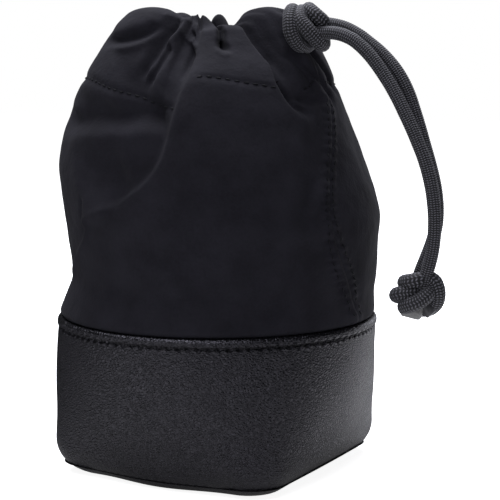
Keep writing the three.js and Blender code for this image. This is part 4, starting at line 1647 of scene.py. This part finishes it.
@dataclass(frozen=True)
class Stitching:
    """Rows of single stitches, in millimetres. Lift is how far a stitch's middle stands off the face."""

    length: float = 1.6
    pitch: float = 2.6
    radius: float = 0.22
    lift: float = 0.08

    def stitch(self) -> tuple[Array, list[tuple[int, ...]]]:
        """Models one stitch lying along X.

        Returns:
            Its points in millimetres and its faces.
        """
        deselect()
        bpy.ops.mesh.primitive_uv_sphere_add(segments=8, ring_count=6, radius=self.radius)
        bpy.ops.object.mode_set(mode="EDIT")
        bpy.ops.mesh.select_all(action="SELECT")
        bpy.ops.transform.resize(value=(self.length / 2 / self.radius, 1.0, 1.0))
        bpy.ops.object.mode_set(mode="OBJECT")
        piece = bpy.context.object
        points = coordinates(piece)
        faces = [tuple(face.vertices) for face in piece.data.polygons]
        bpy.data.objects.remove(piece)
        return points, faces

    def row(self, name: str, path: Array, ground: Piece) -> Piece:
        """Sews a row of stitches on a piece.

        Args:
            name: The row's name.
            path: Points along the row, in millimetres.
            ground: The piece that the stitches lie on.

        Returns:
            The row as one piece.
        """
        points, faces = self.stitch()
        count = max(2, round(line_length(path) / self.pitch))
        marks = even_line(path, 2 * count + 1)
        tree = BVHTree.FromObject(ground, bpy.context.evaluated_depsgraph_get())
        all_points, all_faces = [], []
        for i in range(count):
            before, middle, after = marks[2 * i : 2 * i + 3]
            spot, normal, _, _ = tree.find_nearest(Vector(middle * MM))
            up = np.array(normal)
            run = after - before
            run -= up * (run @ up)
            run /= np.linalg.norm(run)
            side = np.cross(up, run)
            place = np.array(spot) / MM + self.lift * up
            turned = place + points @ np.stack([run, side, up])
            all_faces += [tuple(k + len(points) * i for k in face) for face in faces]
            all_points.append(turned)
        mesh = bpy.data.meshes.new(name)
        mesh.from_pydata((np.vstack(all_points) * MM).tolist(), [], all_faces)
        mesh.shade_smooth()
        piece = bpy.data.objects.new(name, mesh)
        bpy.context.scene.collection.objects.link(piece)
        return piece


# The rows' threads, and the heights that the side seams' rows run between
EDGE_ROW = Stitching(length=2.0, pitch=2.88, radius=0.26, lift=0.05)
FOOT_ROW = Stitching(lift=-0.1)
CLOTH_ROW = Stitching()
SEAM_SPAN = (49.0, 111.0)


def sew(upper: Upper, base: Base, panels: list[Piece], wall: Piece, thread: Material) -> None:
    """Sews every visible row.

    Args:
        upper: The nylon upper.
        base: The leather base.
        panels: The front and back nylon panels.
        wall: The leather wall.
        thread: The thread's material.
    """
    front, back = panels
    edge = base.ring(base.height - base.stitch_drop)
    foot = base.ring(base.seam_height + base.gap / 2)
    made = [
        (EDGE_ROW.row("leather_edge_stitches", edge, wall), "edge_thread"),
        (FOOT_ROW.row("leather_foot_stitches", foot, wall), "foot_thread"),
    ]
    casing = (
        ("left", CASING_LEFT, front, "front"),
        ("front", CASING_FRONT, front, "front"),
        ("right", CASING_RIGHT, front, "front"),
        ("back", CASING_BACK, back, "back"),
    )
    for name, line, panel, node in casing:
        path = upper.on_wall(smooth_line(line))
        made.append((CLOTH_ROW.row(f"casing_stitches_{name}", path, panel), f"casing_thread_{node}"))
    heights = np.linspace(*SEAM_SPAN, 80)
    row_turn = upper.seam_row(heights) / upper.unroll_radius(heights)
    for name, turn in (("right", 0.0), ("left", np.pi)):
        for number, side in ((1, -1), (2, 1)):
            angle = upper.seam_angle(heights) + turn + side * row_turn
            path = upper.on_wall(np.stack([np.degrees(angle), heights], axis=1))
            panel = front if (side < 0) == (turn == 0.0) else back
            row = CLOTH_ROW.row(f"seam_stitches_{name}_{number}", path, panel)
            made.append((row, f"seam_thread_{name}_{number}"))
    for row, node in made:
        dress(row, thread, Slot.THREAD, node)


# Layers inside


@dataclass(frozen=True)
class Inside:
    """Padding, lining and seam tapes behind the shell, in millimetres."""

    base: Base
    upper: Upper
    foam: float = 1.8
    foam_inset: float = 1.1
    foam_span: Pair = (0.2, 0.68)
    foam_grid: tuple[int, int] = (90, 60)
    foam_cut: Pair = (140.0, 80.0)
    tape: float = 9.0
    tape_gap: float = 0.1
    tape_radius: float = 46.0
    tape_thickness: float = 0.6
    tape_length: float = 80.0
    tape_grid: tuple[int, int] = (8, 60)
    lining: float = 0.6
    sleeve_foot: float = 9.0
    sleeve_length: float = 105.0
    sleeve_girth: float = 280.0
    sleeve_grid: tuple[int, int] = (160, 60)
    sleeve_base_inset: float = 7.4
    sleeve_upper_inset: float = 6.0
    sleeve_change: Pair = (40.0, 56.0)
    sleeve_tuck: float = 5.0
    sleeve_tuck_heights: Pair = (94.0, 106.0)
    floor_height: float = 8.2
    floor_crown: float = 0.6
    floor_level: float = 8.0
    floor_inset: float = 7.6
    floor_cut: Pair = (240.0, 34.0)
    floor_grid: tuple[int, int] = (120, 24)
    wall_foam: float = 4.0
    wall_foam_foot: float = 8.4
    wall_foam_length: float = 26.0
    wall_foam_inset: float = 2.1
    wall_foam_girth: float = 300.0
    wall_foam_grid: tuple[int, int] = (160, 20)
    pad_level: float = 5.6
    pad_middle: float = 5.65
    pad_half: float = 1.95
    pad_inset: float = 3.2
    pad_face_power: float = 0.5
    pad_edge_power: float = 0.35
    pad_cut: Pair = (300.0, 80.0)
    pad_grid: tuple[int, int] = (120, 32)

    def build(self, foam: Material, lining: Material, nylon: Material) -> None:
        """Builds the layers.

        Args:
            foam: Material of the padding.
            lining: Material of the lining.
            nylon: Material of the seam tapes.
        """
        span = (self.upper.zones[0] * self.foam_span[0], self.upper.zones[1] * self.foam_span[1])
        for panel in Panel:
            name = panel.name.lower()
            shape = self.upper.panel_shape(panel, self.foam_inset, span)
            piece = roll_sheet(f"padding_{name}", self.foam_grid, self.foam_cut, shape)
            thicken(piece, self.foam)
            dress(piece, foam, Slot.FOAM, f"foam_{name}")
        for name, panel in (("right", Panel.BACK), ("left", Panel.FRONT)):
            whole = self.upper.panel_shape(panel, self.foam_inset + self.tape_gap, span)
            self.build_tape(name, whole, nylon)
        self.build_lining(lining)
        self.build_base_padding(foam)

    def build_tape(self, name: str, whole: Shape, nylon: Material) -> None:
        """Builds the tape behind one side seam.

        Args:
            name: The seam's side.
            whole: The shape of the panel that the tape is a strip of.
            nylon: The tape's material.
        """
        share = self.tape / (math.pi * self.tape_radius)

        def shape(u: Array, v: Array) -> Array:
            """Places the tape's points on both sides of the seam."""
            return whole((u - 0.5) * share, v)

        cut = (self.tape, self.tape_length)
        piece = roll_sheet(f"seam_tape_inside_{name}", self.tape_grid, cut, shape)
        thicken(piece, self.tape_thickness)
        dress(piece, nylon, Slot.NYLON, f"seam_tape_{name}")

    def sleeve_shape(self, u: Array, v: Array) -> Array:
        """Places the lining sleeve's points, from the floor to the casing.

        Args:
            u: Shares round or across the sheet.
            v: Shares along the sheet.

        Returns:
            The points in millimetres, one row each.
        """
        angle = 2 * np.pi * u
        height = self.sleeve_foot + self.sleeve_length * v
        low = self.base.radius(angle, np.minimum(height, self.base.height)) - self.sleeve_base_inset
        high = self.upper.envelope(angle, np.maximum(height, self.base.height)) - self.sleeve_upper_inset
        high = high - self.sleeve_tuck * smoothstep(height, *self.sleeve_tuck_heights)
        return around(angle, low + (high - low) * smoothstep(height, *self.sleeve_change), height)

    def floor_shape(self, u: Array, v: Array) -> Array:
        """Places the lining floor's points, a little crowned by the pad under it.

        Args:
            u: Shares round or across the sheet.
            v: Shares along the sheet.

        Returns:
            The points in millimetres, one row each.
        """
        angle = 2 * np.pi * u
        edge = self.base.radius(angle, np.full_like(u, self.floor_level)) - self.floor_inset
        return around(angle, v * edge, self.floor_height + self.floor_crown * (1 - v**4))

    def wall_shape(self, u: Array, v: Array) -> Array:
        """Places the outer face of the foam behind the leather wall.

        Args:
            u: Shares round or across the sheet.
            v: Shares along the sheet.

        Returns:
            The points in millimetres, one row each.
        """
        angle = 2 * np.pi * u
        height = self.wall_foam_foot + self.wall_foam_length * v
        return around(angle, self.base.radius(angle, height) - self.wall_foam_inset, height)

    def pad_shape(self, u: Array, v: Array) -> Array:
        """Places the floor pad's closed face, from the middle underneath to the middle on top.

        Args:
            u: Shares round or across the sheet.
            v: Shares along the sheet.

        Returns:
            The points in millimetres, one row each.
        """
        angle = 2 * np.pi * u
        cosine = np.cos(np.pi * v)
        edge = self.base.radius(angle, np.full_like(u, self.pad_level)) - self.pad_inset
        share = np.abs(np.sin(np.pi * v)) ** self.pad_edge_power
        height = self.pad_middle - self.pad_half * np.sign(cosine) * np.abs(cosine) ** self.pad_face_power
        return around(angle, share * edge, height)

    def build_lining(self, lining: Material) -> None:
        """Builds the lining sleeve and its floor.

        Args:
            lining: The lining's material.
        """
        cut = (self.sleeve_girth, self.sleeve_length)
        sleeve = roll_sheet("lining_tube", self.sleeve_grid, cut, self.sleeve_shape)
        thicken(sleeve, self.lining)
        dress(sleeve, lining, Slot.LINING, "lining_sleeve")
        floor = roll_sheet("lining_base", self.floor_grid, self.floor_cut, self.floor_shape)
        thicken(floor, self.lining)
        dress(floor, lining, Slot.LINING, "lining_floor")

    def build_base_padding(self, foam: Material) -> None:
        """Builds the foam round the base wall and the pad on the floor.

        Args:
            foam: The foam's material.
        """
        cut = (self.wall_foam_girth, self.wall_foam_length)
        wall = roll_sheet("padding_base_wall", self.wall_foam_grid, cut, self.wall_shape)
        thicken(wall, self.wall_foam)
        dress(wall, foam, Slot.FOAM, "wall_foam")
        pad = roll_sheet("padding_floor", self.pad_grid, self.pad_cut, self.pad_shape)
        dress(pad, foam, Slot.FOAM, "floor_foam")


# Studio


@dataclass(frozen=True)
class Lamp:
    """A soft lamp: place, aim and size in metres, and power in watts."""

    name: str
    place: Triple
    aim: Triple
    size: float
    power: float


LAMPS = (
    Lamp("overhead", (-0.18, 0.18, 0.9), (0.0, 0.0, 0.08), 0.8, 15.0),
    Lamp("front", (0.2, -0.6, 0.75), (0.0, 0.0, 0.08), 0.5, 2.7),
    Lamp("rear", (0.08, 0.93, 0.2), (0.0, 0.0, 0.04), 0.45, 0.7),
)


@dataclass(frozen=True)
class Studio:
    """Pale floor with painted reflections, soft lamps and the camera at the photograph's view."""

    focal_pixels: float = 1470.0
    image_pixels: float = 500.0
    sensor: float = 36.0
    place: Triple = (0.2184, -0.3867, 0.1195)
    azimuth: float = 28.18
    pitch: float = 6.93
    floor_size: float = 6.0
    surround: float = 0.11
    glow: float = 0.9
    glow_span: Pair = (150.0, 500.0)
    # mirrored sets the floor's painted reflection, a glow that only reflections see; left_way to near_span
    # shape its mask
    mirrored: float = 1.0
    mirrored_surround: float = 0.02
    left_way: Pair = (0.5, 0.87)
    left_span: Pair = (-20.0, 110.0)
    left_end: Pair = (0.0, 80.0)
    left_start: Pair = (10.0, 90.0)
    corner_way: Pair = (0.85, 0.53)
    corner_span: Pair = (20.0, 160.0)
    corner_dim: float = 0.88
    right_span: Pair = (40.0, 160.0)
    right_dim: float = 0.5
    near_span: Pair = (20.0, 80.0)
    tint: Triple = (0.96, 0.97, 1.06)

    def build(self) -> None:
        """Builds the camera, lamps, world and floor."""
        scene = bpy.context.scene
        scene.view_settings.view_transform = "Standard"
        self.build_camera(scene)
        for lamp in LAMPS:
            self.build_lamp(scene, lamp)
        self.build_world(scene)
        self.build_floor()
        LOG.info("studio: %d lamps", len(LAMPS))

    def build_camera(self, scene: bpy.types.Scene) -> None:
        """Places the camera.

        Args:
            scene: The scene.
        """
        data = bpy.data.cameras.new("camera")
        data.sensor_width = self.sensor
        data.lens = self.sensor * self.focal_pixels / self.image_pixels
        data.clip_start = 0.01
        camera = bpy.data.objects.new("camera", data)
        camera.location = self.place
        camera.rotation_euler = (math.radians(90.0 - self.pitch), 0.0, math.radians(self.azimuth))
        scene.collection.objects.link(camera)
        scene.camera = camera

    def build_lamp(self, scene: bpy.types.Scene, lamp: Lamp) -> None:
        """Hangs one lamp and aims it.

        Args:
            scene: The scene.
            lamp: The lamp.
        """
        data = bpy.data.lights.new(lamp.name, "AREA")
        data.shape = "DISK"
        data.size = lamp.size
        data.energy = lamp.power
        data.color = self.tint
        made = bpy.data.objects.new(lamp.name, data)
        made.location = lamp.place
        made.rotation_euler = (Vector(lamp.aim) - Vector(lamp.place)).to_track_quat("-Z", "Y").to_euler()
        scene.collection.objects.link(made)

    def build_world(self, scene: bpy.types.Scene) -> None:
        """Makes a surround that is white to the camera and dimmer as light.

        Args:
            scene: The scene.
        """
        scene.world = bpy.data.worlds.new("studio")
        net = Network("studio", scene.world)
        seen = net.ray("Camera")
        mirrored = net.ray("Glossy")
        dimmer = mirrored * (self.surround - self.mirrored_surround)
        strength = seen * (1.0 - self.surround) + self.surround - dimmer
        net.surface(Color=(1.0, 1.0, 1.0, 1.0), Strength=strength)

    def build_floor(self) -> None:
        """Lays the pale floor, which glows a little to the camera so that it stays white, and paints the
        leather's reflections.
        """
        deselect()
        bpy.ops.mesh.primitive_plane_add(size=self.floor_size)
        floor = bpy.context.object
        floor.name = "floor"
        net = Network("pale_floor_painted_reflection")
        seen = net.ray("Camera")
        mirrored = net.ray("Glossy")
        distance = net.node("ShaderNodeVectorMath", {"operation": "LENGTH"}, {0: net.places()}, "Value")
        pale = self.glow + (1.0 - self.glow) * distance.between(*self.glow_span)
        # Painted reflection: the floor glows only to reflections, so the leather mirrors it less to the
        # left, at the near right corner, to the right and close by
        across = net.axis(net.places(), "X")
        back = net.axis(net.places(), "Y")
        ahead = across * self.left_way[0] - back * self.left_way[1]
        left = (1 - ahead.between(*self.left_span)) * (1 - across.between(*self.left_end))
        left = left * distance.between(*self.left_start)
        corner = (across * self.corner_way[0] - back * self.corner_way[1]).between(*self.corner_span)
        right = across.between(*self.right_span)
        shown = (1 - left) * (1 - self.corner_dim * corner) * (1 - self.right_dim * right)
        shown = shown * distance.between(*self.near_span)
        # Painted reflection: the floor glows to reflections like a lamp, by the mask shown
        level = seen * pale + mirrored * self.mirrored * shown
        net.surface(
            # Painted reflection: to reflections the floor's colour turns near black where the mask hides the
            # glow
            Base_Color=net.blend(mirrored * (1 - shown), (0.8, 0.8, 0.8), (0.02, 0.02, 0.02)),
            Roughness=0.9,
            Specular_IOR_Level=0.0,
            Emission_Color=net.blend(level, (0.0, 0.0, 0.0), (1.0, 1.0, 1.0)),
            Emission_Strength=1.0,
        )
        floor.data.materials.append(net.material)


def main() -> None:
    """Builds the studio and every piece of the pouch in order."""
    logging.basicConfig(level=logging.INFO, format="%(name)s: %(message)s")
    Studio().build()
    leather = GrainedLeather().material()
    nylon = BrushedNylon().material()
    cord = BraidedCord().material()
    thread = THREAD_FINISH.material()
    base = Base()
    upper = Upper(base)
    Drawcord(Braid(), upper).build(cord)
    wall = base.build(leather)
    panels = upper.build(nylon)
    sew(upper, base, panels, wall, thread)
    Inside(base, upper).build(FOAM_FINISH.material(), LINING_FINISH.material(), nylon)
    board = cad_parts["stiffener_board"]
    board.data.materials.clear()
    board.data.materials.append(BOARD_FINISH.material())


if __name__ == "__main__":
    main()
